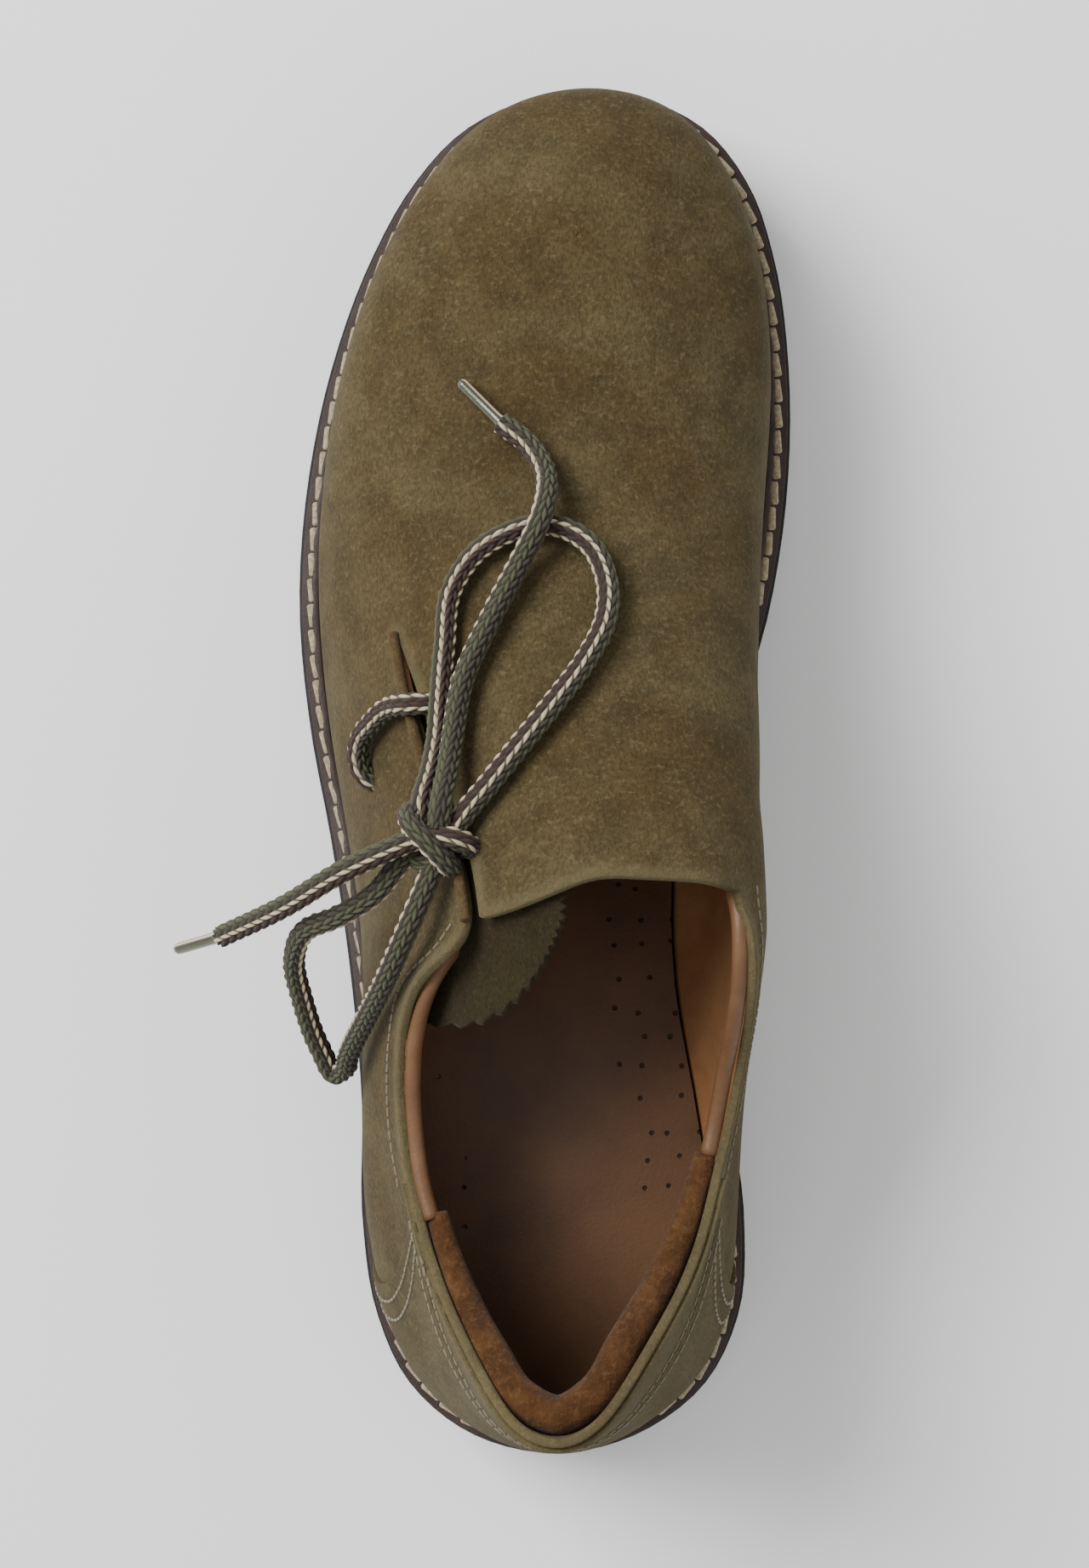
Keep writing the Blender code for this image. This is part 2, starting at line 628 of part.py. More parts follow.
def make_upper(look):
    """One shell: walls all round, joined over the toe and instep as far as the throat."""
    places = column_places()
    points, index = [], {}

    def vertex(key, point):
        if key not in index:
            index[key] = len(points)
            points.append(point)
        return index[key]

    def low_point(side, column, row):
        column_side = 0 if column in (0, len(places) - 1) else side
        opened = 0.0
        if side < 0 and SLIT_COLUMN < column <= FRONT_COLUMNS and row == LOW_ROWS:
            opened = slit_share(column)
        at = side * places[column]
        v = slit_edge(at, opened, -1) if opened else row / LOW_ROWS
        return vertex(("low", column_side, column, row), surface(at, v))

    def high_point(side, column, row):
        if row == HIGH_ROWS:
            return vertex(("ridge", max(column, 1)), surface(side * places[column], 2.0))
        opened = slit_share(column) if side < 0 and column > SLIT_COLUMN else 0.0
        if row == 0 and not opened:
            return low_point(side, column, LOW_ROWS)
        at = side * places[column]
        v = 1 + row / HIGH_ROWS if row else slit_edge(at, opened, 1)
        return vertex(("high", 0 if column == 0 else side, column, row), surface(at, v))

    faces = []
    for side in (-1, 1):
        for column in range(len(places) - 1):
            for row in range(LOW_ROWS):
                faces.append(
                    [
                        low_point(side, column, row),
                        low_point(side, column + 1, row),
                        low_point(side, column + 1, row + 1),
                        low_point(side, column, row + 1),
                    ]
                )
        for column in range(FRONT_COLUMNS):
            for row in range(HIGH_ROWS):
                corners = [
                    high_point(side, column, row),
                    high_point(side, column + 1, row),
                    high_point(side, column + 1, row + 1),
                    high_point(side, column, row + 1),
                ]
                faces.append(list(dict.fromkeys(corners)))
    obj = mesh_object("upper", points, faces, look)
    shell = obj.modifiers.new("wall", "SOLIDIFY")
    shell.thickness = WALL
    shell.offset = -1
    shell.use_even_offset = True
    shell.use_rim = True
    shade(obj)
    return obj


def make_rand(look):
    """The upright strip on the welt, all round the foot of the upper."""
    points, faces = [], []
    for k in range(RAND_COLUMNS):
        at = 2 * k / RAND_COLUMNS - 1
        foot, out = surface(at, 0.0), EDGE.place(at)[1]
        head = surface(at, height_to_v(at, foot.z + RAND_HEIGHT))
        far = GAP + RAND_WIDTH
        for base, share in ((foot, GAP), (foot, far), (head, far), (head, GAP)):
            point = base + out * share
            point.z = foot_of_upper(point.y) + (RAND_HEIGHT if base is head else 0.0)
            points.append(point)
    for k in range(RAND_COLUMNS):
        a, b = 4 * k, 4 * ((k + 1) % RAND_COLUMNS)
        for j in range(4):
            n = (j + 1) % 4
            faces.append((a + j, b + j, b + n, a + n))
    obj = mesh_object("rand", points, faces, look)
    shade(obj, 30)
    return obj


def height_to_v(at, height):
    """Where on the wall the upper reaches a height."""
    low, high = 0.0, 1.0
    for _ in range(30):
        middle = (low + high) / 2
        if surface(at, middle).z < height:
            low = middle
        else:
            high = middle
    return (low + high) / 2


def make_tongue(look):
    """The gusset under the lacing slit, with its rounded end behind the throat."""
    columns, front_rows, rear_rows = 8, 7, 4
    deep = WALL + TONGUE_CLEARANCE
    layers = []
    front, rear = (np.array(row) for row in TONGUE)
    for extra in (0.0, TONGUE_THICKNESS):
        layer = []
        for row in range(front_rows + rear_rows + 1):
            at, low, high = front + (rear - front) * min(row / front_rows, 1.0)
            behind = max(0, row - front_rows) / rear_rows
            for column in range(columns + 1):
                t = column / columns
                point = offset(at, low + (high - low) * t, -deep - extra)
                point.y -= behind * (TONGUE_REACH * math.sqrt(1 - TONGUE_TAPER * t**3))
                point.z += behind * TONGUE_LIFT
                layer.append(point)
        layers.append(layer)
    return layered("tongue", layers, columns + 1, look)


def around_heel(turn):
    """Place round the foot for a turn from the heel's middle, negative on the outer side."""
    return -1 - turn if turn < 0 else 1 - turn


def layered(name, layers, width, look):
    """A closed panel between two layers of points, each laid out in rows of the same width."""
    near, far = layers
    points = near + far
    size, rows = len(near), len(near) // width - 1
    faces = []
    for row in range(rows):
        for column in range(width - 1):
            a = row * width + column
            quad = (a, a + 1, a + 1 + width, a + width)
            faces += [quad, tuple(size + k for k in reversed(quad))]
    rim = list(range(width))
    rim += [row * width + width - 1 for row in range(1, rows + 1)]
    rim += [rows * width + column for column in range(width - 2, -1, -1)]
    rim += [row * width for row in range(rows - 1, 0, -1)]
    for k, a in enumerate(rim):
        b = rim[(k + 1) % len(rim)]
        faces.append((a, b, size + b, size + a))
    obj = mesh_object(name, points, faces, look)
    shade(obj)
    return obj


def overlay(name, reach, bottom, top, look, columns=24, rows=6):
    """A panel laid on the heel end of the upper. reach(t) is its half width round the heel at a share of
    its height, and bottom(at) and top(at) are its edges, as places up the wall."""
    layers = []
    for lift in (OVERLAY_GAP, OVERLAY_GAP + OVERLAY):
        layer = []
        for row in range(rows + 1):
            t = row / rows
            for column in range(columns + 1):
                at = around_heel((2 * column / columns - 1) * reach(t))
                low, high = bottom(at), top(at)
                layer.append(offset(at, low + (high - low) * t, lift))
        layers.append(layer)
    return layered(name, layers, columns + 1, look)


def seam(at, drop=0.0):
    """Place up the wall of the seam between counter and heel tab."""
    return height_to_v(at, foot_of_upper(surface(at, 0.0).y) + COUNTER_HEIGHT + drop)


def make_heel_panels(look):
    """The counter from the rand up to its seam, and the tab from there to the collar."""

    def above_rand(at):
        return height_to_v(at, foot_of_upper(surface(at, 0.0).y) + RAND_HEIGHT + 4 * GAP)

    overlay(
        "heel_counter",
        lambda t: COUNTER_REACH * (1 - COUNTER_WAIST * math.sin(math.pi * t) - COUNTER_TAPER * t),
        above_rand,
        lambda at: seam(at, -GAP),
        look,
    )
    overlay(
        "heel_tab",
        lambda t: COUNTER_REACH * (TAB_REACH[0] + (TAB_REACH[1] - TAB_REACH[0]) * t),
        lambda at: seam(at, GAP),
        lambda at: TAB_TOP,
        look,
        rows=4,
    )


def along_route(route, spacing):
    """Evenly spaced points on a smooth curve through a route's points, given in millimetres."""
    rows, length = [], 0.0
    for k, point in enumerate(route):
        length += math.dist(point, route[k - 1]) if k else 0.0
        rows.append((length, *point))
    count = max(3, round(length / 1000 / spacing) + 1)
    return [smooth(rows, length * k / (count - 1)) / 1000 for k in range(count)]


def cord(name, points, diameter, look):
    """A round tube through points."""
    curve = bpy.data.curves.new(name, "CURVE")
    curve.dimensions = "3D"
    curve.bevel_depth = diameter / 2
    curve.bevel_resolution = 2
    curve.use_fill_caps = True
    spline = curve.splines.new("POLY")
    spline.points.add(len(points) - 1)
    for place, point in zip(spline.points, points):
        place.co = (*point, 1)
    curve.materials.append(look)
    obj = bpy.data.objects.new(name, curve)
    bpy.context.scene.collection.objects.link(obj)
    return obj


def make_lace(look, tip_look):
    """The lace's stretch over the outer lip, its knot, its two loops and its two tipped ends."""
    over = LACE_DIAMETER / 2 + BAR_CLEARANCE
    cord("lace_bar", [offset(*place, over) for place in LACE_BAR], LACE_DIAMETER, look)
    for name, route in LACE_ROUTES.items():
        points = along_route(route, LACE_SPACING)
        if name.startswith("aglet"):
            cord(name, points, AGLET_DIAMETER, tip_look)
        else:
            cord(name, points, LACE_DIAMETER, look)
    ball = bmesh.new()
    bmesh.ops.create_uvsphere(ball, u_segments=14, v_segments=9, radius=1.0)
    bmesh.ops.scale(ball, vec=[size / 1000 for size in KNOT_HALF_SIZES], verts=ball.verts)
    bmesh.ops.translate(ball, vec=[place / 1000 for place in KNOT_PLACE], verts=ball.verts)
    mesh = bpy.data.meshes.new("lace_knot")
    ball.to_mesh(mesh)
    ball.free()
    mesh.materials.append(look)
    mesh.shade_smooth()
    bpy.context.scene.collection.objects.link(bpy.data.objects.new("lace_knot", mesh))


def clear_scene():
    for obj in list(bpy.data.objects):
        bpy.data.objects.remove(obj)


def main():
    clear_scene()
    suede = material("suede", (0.11, 0.085, 0.045), 0.95)
    rubber = material("rubber", (0.04, 0.038, 0.04), 0.7)
    tan = material("midsole", (0.16, 0.10, 0.055), 0.8)
    brown = material("rand_leather", (0.06, 0.03, 0.022), 0.6)
    leather = material("insole_leather", (0.09, 0.045, 0.025), 0.6)
    make_outsole(rubber)
    slab("midsole", GAP, lambda y: rubber_top(y) + GAP, midsole_top, tan)
    slab(
        "insole",
        WELT_MARGIN + WALL + INSOLE_CLEARANCE,
        foot_of_upper,
        lambda y: foot_of_upper(y) + INSOLE_THICKNESS,
        leather,
    )
    make_upper(suede)
    make_rand(brown)
    make_heel_panels(suede)
    make_tongue(suede)
    make_lace(material("lace", (0.09, 0.08, 0.055), 0.9), material("aglet", (0.30, 0.28, 0.27), 0.25))


main()
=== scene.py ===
# %% [markdown]
# A low haferl shoe in olive suede.
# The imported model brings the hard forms: the lugged rubber sole, the midsole, the shell of the upper, the
# heel panels and the plain tubes of the lace. This script dresses them. It smooths the leather, sews the
# seams, braids the lace, and gives every surface a finish made from shader nodes.

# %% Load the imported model
import math

import bpy
import numpy as np
from mathutils import Matrix, Vector
from mathutils.bvhtree import BVHTree


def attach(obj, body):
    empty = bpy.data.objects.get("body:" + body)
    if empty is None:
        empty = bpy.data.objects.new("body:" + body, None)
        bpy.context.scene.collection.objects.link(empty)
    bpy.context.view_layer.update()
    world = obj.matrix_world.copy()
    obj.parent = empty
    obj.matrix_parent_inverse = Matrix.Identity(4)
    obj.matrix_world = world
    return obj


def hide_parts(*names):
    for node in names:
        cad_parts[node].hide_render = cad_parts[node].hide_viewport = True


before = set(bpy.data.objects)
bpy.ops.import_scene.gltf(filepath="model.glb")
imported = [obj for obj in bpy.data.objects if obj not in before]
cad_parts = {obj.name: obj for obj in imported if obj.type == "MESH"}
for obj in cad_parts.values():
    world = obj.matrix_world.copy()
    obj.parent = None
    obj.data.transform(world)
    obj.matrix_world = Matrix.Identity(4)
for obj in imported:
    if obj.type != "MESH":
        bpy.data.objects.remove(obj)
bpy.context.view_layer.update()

MM = 0.001

# %% [markdown]
# The camera hangs straight over the shoe, as in the photograph, three quarters of a metre above the floor.
# Close cameras make near things larger, so this height decides how far the collar and the knot spread
# towards the edges of the picture.

# %% Camera
CAMERA_HEIGHT = 0.75
CAMERA_LENS = 76
camera_data = bpy.data.cameras.new("camera")
camera_data.lens = CAMERA_LENS
camera_data.sensor_fit = "AUTO"
camera = bpy.data.objects.new("camera", camera_data)
camera.location = (0, -2 * MM, CAMERA_HEIGHT)
bpy.context.scene.collection.objects.link(camera)
bpy.context.scene.camera = camera

# %% [markdown]
# Small helpers come next. An operator works on whatever is selected, so each helper first clears the
# selection and then picks its own piece.

# %% Helpers for selecting and for modifiers
WELD = 1e-5


def pick(*pieces):
    """Selects these pieces and nothing else. The first one becomes active."""
    bpy.ops.object.select_all(action="DESELECT")
    for piece in pieces:
        piece.select_set(True)
    bpy.context.view_layer.objects.active = pieces[0]


def apply_modifier(piece, kind, **settings):
    """Adds a modifier, sets it and applies it."""
    modifier = piece.modifiers.new(kind.lower(), kind)
    for name, value in settings.items():
        setattr(modifier, name, value)
    pick(piece)
    bpy.ops.object.modifier_apply(modifier=modifier.name)


def subdivide_smooth(piece, levels):
    apply_modifier(piece, "SUBSURF", levels=levels, render_levels=levels)


def copy_node(node, name):
    """A welded copy of a CAD node, which then stands for that node."""
    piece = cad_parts[node].copy()
    piece.data = piece.data.copy()
    piece.data.materials.clear()
    bpy.context.scene.collection.objects.link(piece)
    piece.parent = None
    piece.matrix_world = Matrix()
    piece.name = name
    pick(piece)
    bpy.ops.object.mode_set(mode="EDIT")
    bpy.ops.mesh.select_all(action="SELECT")
    bpy.ops.mesh.remove_doubles(threshold=WELD)
    bpy.ops.mesh.tris_convert_to_quads(face_threshold=math.radians(60), shape_threshold=math.radians(60))
    bpy.ops.object.mode_set(mode="OBJECT")
    if piece.data.has_custom_normals:
        bpy.ops.mesh.customdata_custom_splitnormals_clear()
    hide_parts(node)
    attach(piece, "root")
    return piece


def crease_sharp_edges(piece, angle, amount):
    """Marks the edges that turn more than an angle, so that a subdivision keeps them."""
    pick(piece)
    bpy.ops.object.mode_set(mode="EDIT")
    bpy.ops.mesh.select_mode(type="EDGE")
    bpy.ops.mesh.select_all(action="DESELECT")
    bpy.ops.mesh.edges_select_sharp(sharpness=math.radians(angle))
    bpy.ops.transform.edge_crease(value=amount)
    bpy.ops.object.mode_set(mode="OBJECT")


def finish_piece(piece, slot, *looks):
    """Gives a piece its finishes and its place on the body. Its slot is not used."""
    for look in looks:
        piece.data.materials.append(look)
    piece.data.shade_smooth()
    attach(piece, "root")


# %% [markdown]
# Seams, cords and beads all follow smooth lines. A line is a short list of points, in millimetres, and
# this helper runs a smooth curve through them and returns evenly spaced points.

# %% Smooth lines


def smooth_line(points, spacing):
    """Evenly spaced points, in metres, on a smooth curve through points given in millimetres."""
    knots = np.array(points, float) * MM
    reach = np.concatenate([[0], np.cumsum(np.linalg.norm(np.diff(knots, axis=0), axis=1))])
    slopes = np.gradient(knots, reach, axis=0)
    places = np.linspace(0, reach[-1], 40 * len(knots))
    index = np.clip(np.searchsorted(reach, places, side="right") - 1, 0, len(knots) - 2)
    span = (reach[index + 1] - reach[index])[:, None]
    t = (places - reach[index])[:, None] / span
    curve = knots[index] * (2 * t**3 - 3 * t**2 + 1) + knots[index + 1] * (3 * t**2 - 2 * t**3)
    curve += span * (slopes[index] * (t**3 - 2 * t**2 + t) + slopes[index + 1] * (t**3 - t**2))
    length = np.concatenate([[0], np.cumsum(np.linalg.norm(np.diff(curve, axis=0), axis=1))])
    count = max(2, round(length[-1] / spacing) + 1)
    even = np.linspace(0, length[-1], count)
    return np.stack([np.interp(even, length, curve[:, axis]) for axis in range(3)], axis=1)


def line_length(points):
    return float(np.linalg.norm(np.diff(points, axis=0), axis=1).sum())


# %% [markdown]
# A tube is swept along a line. Its rings are carried from point to point without twisting, and its UV map
# runs once round the tube and along it in metres, so that a braid can follow the cord.

# %% Sweeping a tube


def ring_frames(centre):
    """Upward and sideways directions at each point, carried both ways from where the line is level."""
    tangents = np.gradient(centre, axis=0)
    tangents /= np.linalg.norm(tangents, axis=1)[:, None]
    level = int(np.abs(tangents[:, 2]).argmin())
    ups = np.zeros_like(tangents)
    for steps in (range(level, len(centre)), range(level, -1, -1)):
        up = np.array([0.0, 0.0, 1.0])
        for k in steps:
            up = up - tangents[k] * (up @ tangents[k])
            up = up / np.linalg.norm(up)
            ups[k] = up
    return ups, np.cross(tangents, ups)


def sweep(name, centre, radius, around, turn=0.0, twist=0.0, relief=None):
    """A closed tube. radius is a number or one per point, turn is in degrees, twist in degrees per metre."""
    count = len(centre)
    ups, sides = ring_frames(centre)
    along = np.concatenate([[0], np.cumsum(np.linalg.norm(np.diff(centre, axis=0), axis=1))])
    u = np.arange(around) / around
    angle = 2 * math.pi * u[None, :] + np.radians(turn + twist * along)[:, None]
    wide = np.broadcast_to(np.asarray(radius, float).reshape(-1, 1), (count, around)).copy()
    height = np.ones((count, around))
    if relief is not None:
        height = relief(u[None, :], along[:, None])
        wide -= BRAID_DEPTH * (1 - height)
    points = centre[:, None, :] + wide[..., None] * (
        np.cos(angle)[..., None] * ups[:, None, :] + np.sin(angle)[..., None] * sides[:, None, :]
    )
    points = np.concatenate([points.reshape(-1, 3), centre[:1], centre[-1:]])
    faces, uvs = [], []
    for i in range(count - 1):
        for j in range(around):
            n = (j + 1) % around
            faces.append((i * around + j, i * around + n, (i + 1) * around + n, (i + 1) * around + j))
            near, far = along[i], along[i + 1]
            uvs += [(j / around, near), ((j + 1) / around, near), ((j + 1) / around, far), (j / around, far)]
    start, end = count * around, count * around + 1
    for j in range(around):
        n = (j + 1) % around
        faces.append((j, start, n))
        uvs += [(j / around, 0.0), (j / around, 0.0), ((j + 1) / around, 0.0)]
        last = (count - 1) * around
        faces.append((last + j, last + n, end))
        uvs += [(j / around, along[-1]), ((j + 1) / around, along[-1]), (j / around, along[-1])]
    mesh = bpy.data.meshes.new(name)
    mesh.from_pydata(points.tolist(), [], faces)
    layer = mesh.uv_layers.new(name="UVMap")
    layer.data.foreach_set("uv", np.array(uvs, np.float32).ravel())
    raised = mesh.attributes.new("raised", "FLOAT", "POINT")
    raised.data.foreach_set("value", np.append(height.ravel(), [1.0, 1.0]).astype(np.float32))
    piece = bpy.data.objects.new(name, mesh)
    bpy.context.scene.collection.objects.link(piece)
    pick(piece)
    bpy.ops.object.mode_set(mode="EDIT")
    bpy.ops.mesh.select_all(action="SELECT")
    bpy.ops.mesh.normals_make_consistent(inside=False)
    bpy.ops.object.mode_set(mode="OBJECT")
    mesh.shade_smooth()
    return piece


# %% [markdown]
# The lace is a round braid, 4.8 mm thick. Its surface is twelve columns of small stitches that lean against
# each other like ears of corn. The relief is modelled, and the colours follow the same columns later.

# %% Lace sizes and the braid's relief
LACE_DIAMETER = 0.0048
BRAID_COLUMNS = 12
BRAID_PITCH = 0.0027
BRAID_DEPTH = 0.0007
BRAID_LEAN = 0.6
STITCH_HALF_WIDTH = 0.52
SEGMENTS_PER_COLUMN = 5
RINGS_PER_STITCH = 8


def braid_height(u, v):
    """1 at the middle of a stitch and 0 in the gaps, for a place round the cord and along it."""
    column = u * BRAID_COLUMNS
    number = np.floor(column + 1e-6)
    across = column - number - 0.5
    lean = np.where(number % 2 == 0, 1.0, -1.0)
    row = v / BRAID_PITCH + 0.5 * (number % 2) + lean * across * BRAID_LEAN
    up = row - np.floor(row) - 0.5
    rounded = np.sqrt(np.clip(1 - (across / STITCH_HALF_WIDTH) ** 2, 0, 1))
    return rounded * (1 - (up / 0.5) ** 2)


# %% [markdown]
# The lace's visible stretches follow the same routes as the tubes of the CAD model, in millimetres. The
# stretch over the outer lip is longer at both ends here: it comes up out of the slit and goes down through
# its hole.

# %% Lace routes
FRONT_END = [
    (-21.0, -10.4, 95.6), (-20.6, -6.6, 96.3), (-19.4, 0.0, 93.0), (-18.5, 6.4, 89.6), (-16.3, 18.9, 86.0),
    (-10.8, 31.4, 84.0), (-4.6, 43.5, 82.6), (-1.4, 50.0, 83.9), (0.2, 55.5, 81.6),
    (0.2, 61.0, 77.7), (-3.3, 67.4, 73.9), (-9.0, 72.0, 72.4),
]
FRONT_AGLET = [(-8.4, 71.5, 72.5), (-13.3, 76.5, 71.0), (-17.5, 80.8, 70.0)]
FRONT_LOOP = [
    (-24.4, -10.4, 92.8), (-24.6, -6.8, 91.8), (-22.8, 0.5, 87.6), (-21.6, 7.0, 84.7), (-21.2, 13.0, 82.8),
    (-20.3, 25.3, 79.5), (-18.6, 38.0, 77.0), (-14.2, 44.6, 77.7), (-7.4, 48.9, 78.6),
    (-2.2, 50.4, 78.6), (3.2, 50.0, 79.1), (9.2, 46.3, 80.4), (12.4, 39.6, 83.1),
    (12.2, 31.0, 87.0), (8.1, 22.6, 90.5), (1.9, 14.2, 94.0), (-6.0, 4.3, 95.6),
    (-11.2, -2.2, 95.7), (-15.2, -7.0, 94.8), (-17.6, -10.4, 94.0),
]
BACK_END = [
    (-24.8, -12.6, 95.4), (-28.4, -14.0, 95.7), (-38.6, -18.6, 94.0), (-51.9, -26.4, 85.0),
    (-66.4, -33.3, 70.8),
]
BACK_AGLET = [(-65.6, -33.0, 71.4), (-71.8, -34.9, 66.3), (-76.7, -36.4, 62.0)]
BACK_LOOP = [
    (-23.8, -13.6, 91.6), (-26.9, -15.8, 91.2), (-34.0, -24.0, 89.0), (-41.5, -28.6, 85.6),
    (-48.3, -31.6, 80.4),
    (-51.2, -37.6, 73.0), (-50.2, -46.6, 64.5), (-47.0, -57.6, 55.8), (-44.2, -63.0, 52.4),
    (-42.0, -61.8, 55.4), (-40.9, -58.4, 61.0), (-36.6, -50.0, 74.0), (-31.8, -41.0, 86.0),
    (-27.2, -30.6, 92.0), (-22.3, -18.8, 92.8), (-21.2, -15.6, 92.8),
]
LIP_STRETCH = [
    (-19.6, 14.0, 72.5), (-22.2, 14.4, 76.4), (-27.4, 14.3, 75.9), (-32.5, 13.4, 70.1),
    (-35.8, 10.5, 65.9), (-38.1, 7.7, 62.3), (-38.9, 3.7, 60.4), (-37.8, 0.2, 59.4),
    (-35.0, -1.8, 58.4), (-32.4, -2.6, 57.4),
]
WRAP_OUTER = [
    (-24.0, -6.6, 89.0), (-26.8, -7.9, 92.4), (-26.2, -10.3, 96.0), (-23.4, -13.2, 97.3),
    (-20.6, -16.2, 96.2), (-18.7, -18.4, 93.0), (-19.4, -17.4, 89.4),
]
WRAP_INNER = [
    (-24.4, -13.6, 90.6), (-22.6, -12.0, 94.6), (-19.4, -12.4, 96.4), (-16.2, -13.4, 95.4),
    (-14.6, -14.6, 92.2), (-16.4, -14.6, 89.2),
]
WRAP_CORE = [
    (-26.4, -14.6, 90.4), (-24.6, -17.0, 92.0), (-21.8, -16.6, 92.6), (-19.0, -12.4, 91.4),
    (-18.2, -8.6, 90.0),
]

# %% Braid the lace


def braided(name, route, turn, twist):
    """One stretch of lace along a route."""
    centre = smooth_line(route, BRAID_PITCH / RINGS_PER_STITCH)
    around = BRAID_COLUMNS * SEGMENTS_PER_COLUMN
    piece = sweep(name, centre, LACE_DIAMETER / 2, around, turn, twist, braid_height)
    return piece, centre


lace_front_end, front_end_path = braided("lace_front_end_braid", FRONT_END, 120, 900)
lace_front_loop, front_loop_path = braided("lace_front_loop_braid", FRONT_LOOP, -25, -200)
lace_back_end, back_end_path = braided("lace_back_end_braid", BACK_END, -115, 0)
lace_back_loop, back_loop_path = braided("lace_back_loop_braid", BACK_LOOP, -185, 0)
lace_lip, _ = braided("lace_bar_braid", LIP_STRETCH, -50, 0)
lace_wraps = [
    braided("knot_wrap_outer", WRAP_OUTER, 60, 0)[0],
    braided("knot_wrap_inner", WRAP_INNER, -90, 0)[0],
    braided("knot_wrap_core", WRAP_CORE, 90, 0)[0],
]
pick(*lace_wraps)
bpy.ops.object.join()
lace_knot = lace_wraps[0]
lace_knot.name = "lace_knot_wrapped"
lace_paths = (front_end_path, front_loop_path, back_end_path, back_loop_path)
print("lace in mm:", [round(line_length(path) / MM) for path in lace_paths])

# %% [markdown]
# Each end of the lace is tipped with a clear sleeve. It is a slim tube whose ends close in, shrunk on to
# the braid, so it is swept along its own short line with a radius that changes.

# %% Aglets
AGLET_RADIUS = 0.00125
AGLET_FLARE = 0.28
AGLET_FLARE_REACH = 0.10
AGLET_TIP_FROM = 0.9


def aglet(name, route, node):
    centre = smooth_line(route, 0.25 * MM)
    share = np.linspace(0, 1, len(centre))
    wide = AGLET_RADIUS * (1 + AGLET_FLARE * np.exp(-((share / AGLET_FLARE_REACH) ** 2)))
    tip = ((share - AGLET_TIP_FROM) / 0.105).clip(0, 1)
    wide *= np.sqrt(np.clip(1 - tip**2, 0.05, 1))
    piece = sweep(name, centre, wide, 24, turn=30)
    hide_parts(node)
    return piece


aglet_front = aglet("aglet_front_sleeve", FRONT_AGLET, "aglet_front")
aglet_back = aglet("aglet_back_sleeve", BACK_AGLET, "aglet_back")

# %% [markdown]
# Shader nodes are written as sums. A Wire is the output of a node, and adding or multiplying Wires adds
# the Math nodes. Finish is one material, with a single method that makes any other node.

# %% Wires and finishes


class Wire:
    """A node's output that takes part in Python's own maths."""

    def __init__(self, finish, socket):
        self.finish = finish
        self.socket = socket

    def maths(self, operation, *values):
        return self.finish.node("ShaderNodeMath", {"operation": operation}, dict(enumerate(values)))

    def __add__(self, other):
        return self.maths("ADD", self, other)

    __radd__ = __add__

    def __sub__(self, other):
        return self.maths("SUBTRACT", self, other)

    def __rsub__(self, other):
        return self.maths("SUBTRACT", other, self)

    def __mul__(self, other):
        return self.maths("MULTIPLY", self, other)

    __rmul__ = __mul__

    def above(self, low, high):
        """0 below low, 1 above high, and a soft step between."""
        return self.finish.node(
            "ShaderNodeMapRange",
            {"interpolation_type": "SMOOTHSTEP"},
            {"Value": self, "From Min": low, "From Max": high},
        )


class Finish:
    """One material: a Principled shader and the nodes that feed it."""

    def __init__(self, name, roughness, **constants):
        self.material = bpy.data.materials.new(name)
        self.material.use_nodes = True
        self.tree = self.material.node_tree
        self.shader = self.tree.nodes["Principled BSDF"]
        self.set("Roughness", roughness)
        for socket, value in constants.items():
            self.set(socket.replace("_", " "), value)

    def set(self, socket, value):
        self.feed(self.shader.inputs[socket], value)

    def feed(self, socket, value):
        if isinstance(value, Wire):
            self.tree.links.new(value.socket, socket)
        elif isinstance(value, tuple) and socket.type == "RGBA":
            socket.default_value = (*value[:3], 1)
        else:
            socket.default_value = value

    def node(self, kind, settings=None, sockets=None, out=0):
        made = self.tree.nodes.new(kind)
        for name, value in (settings or {}).items():
            if name == "stops":
                ramp = made.color_ramp
                while len(ramp.elements) < len(value):
                    ramp.elements.new(1.0)
                for stop, (place, colour) in zip(ramp.elements, value):
                    stop.position = place
                    stop.color = (*colour, 1)
            elif name == "ramp_steps":
                made.color_ramp.interpolation = value
            else:
                setattr(made, name, value)
        for key, value in (sockets or {}).items():
            self.feed(made.inputs[key], value)
        return Wire(self, made.outputs[out])

    def place(self):
        return self.node("ShaderNodeTexCoord", out=3)

    def scaled(self, x, y, z):
        """The piece's own coordinates, stretched."""
        return self.node("ShaderNodeMapping", None, {"Vector": self.place(), "Scale": (x, y, z)})

    def part_of(self, vector, axis):
        """One coordinate of a vector: 0, 1 or 2."""
        return self.node("ShaderNodeSeparateXYZ", None, {"Vector": vector}, out=axis)

    def noise(self, scale, detail=2.0, rough=0.5, vector=None, warp=0.0):
        sockets = {"Scale": scale, "Detail": detail, "Roughness": rough, "Distortion": warp}
        sockets["Vector"] = vector or self.place()
        return self.node("ShaderNodeTexNoise", None, sockets)

    def mix(self, factor, first, second):
        return self.node("ShaderNodeMix", {"data_type": "RGBA"}, {0: factor, 6: first, 7: second}, out=2)

    def attribute(self, name):
        return self.node("ShaderNodeAttribute", {"attribute_name": name}, out=2)

    def bump(self, height, strength, distance, normal=None):
        sockets = {"Height": height, "Strength": strength, "Distance": distance}
        if normal is not None:
            sockets["Normal"] = normal
        return self.node("ShaderNodeBump", None, sockets)


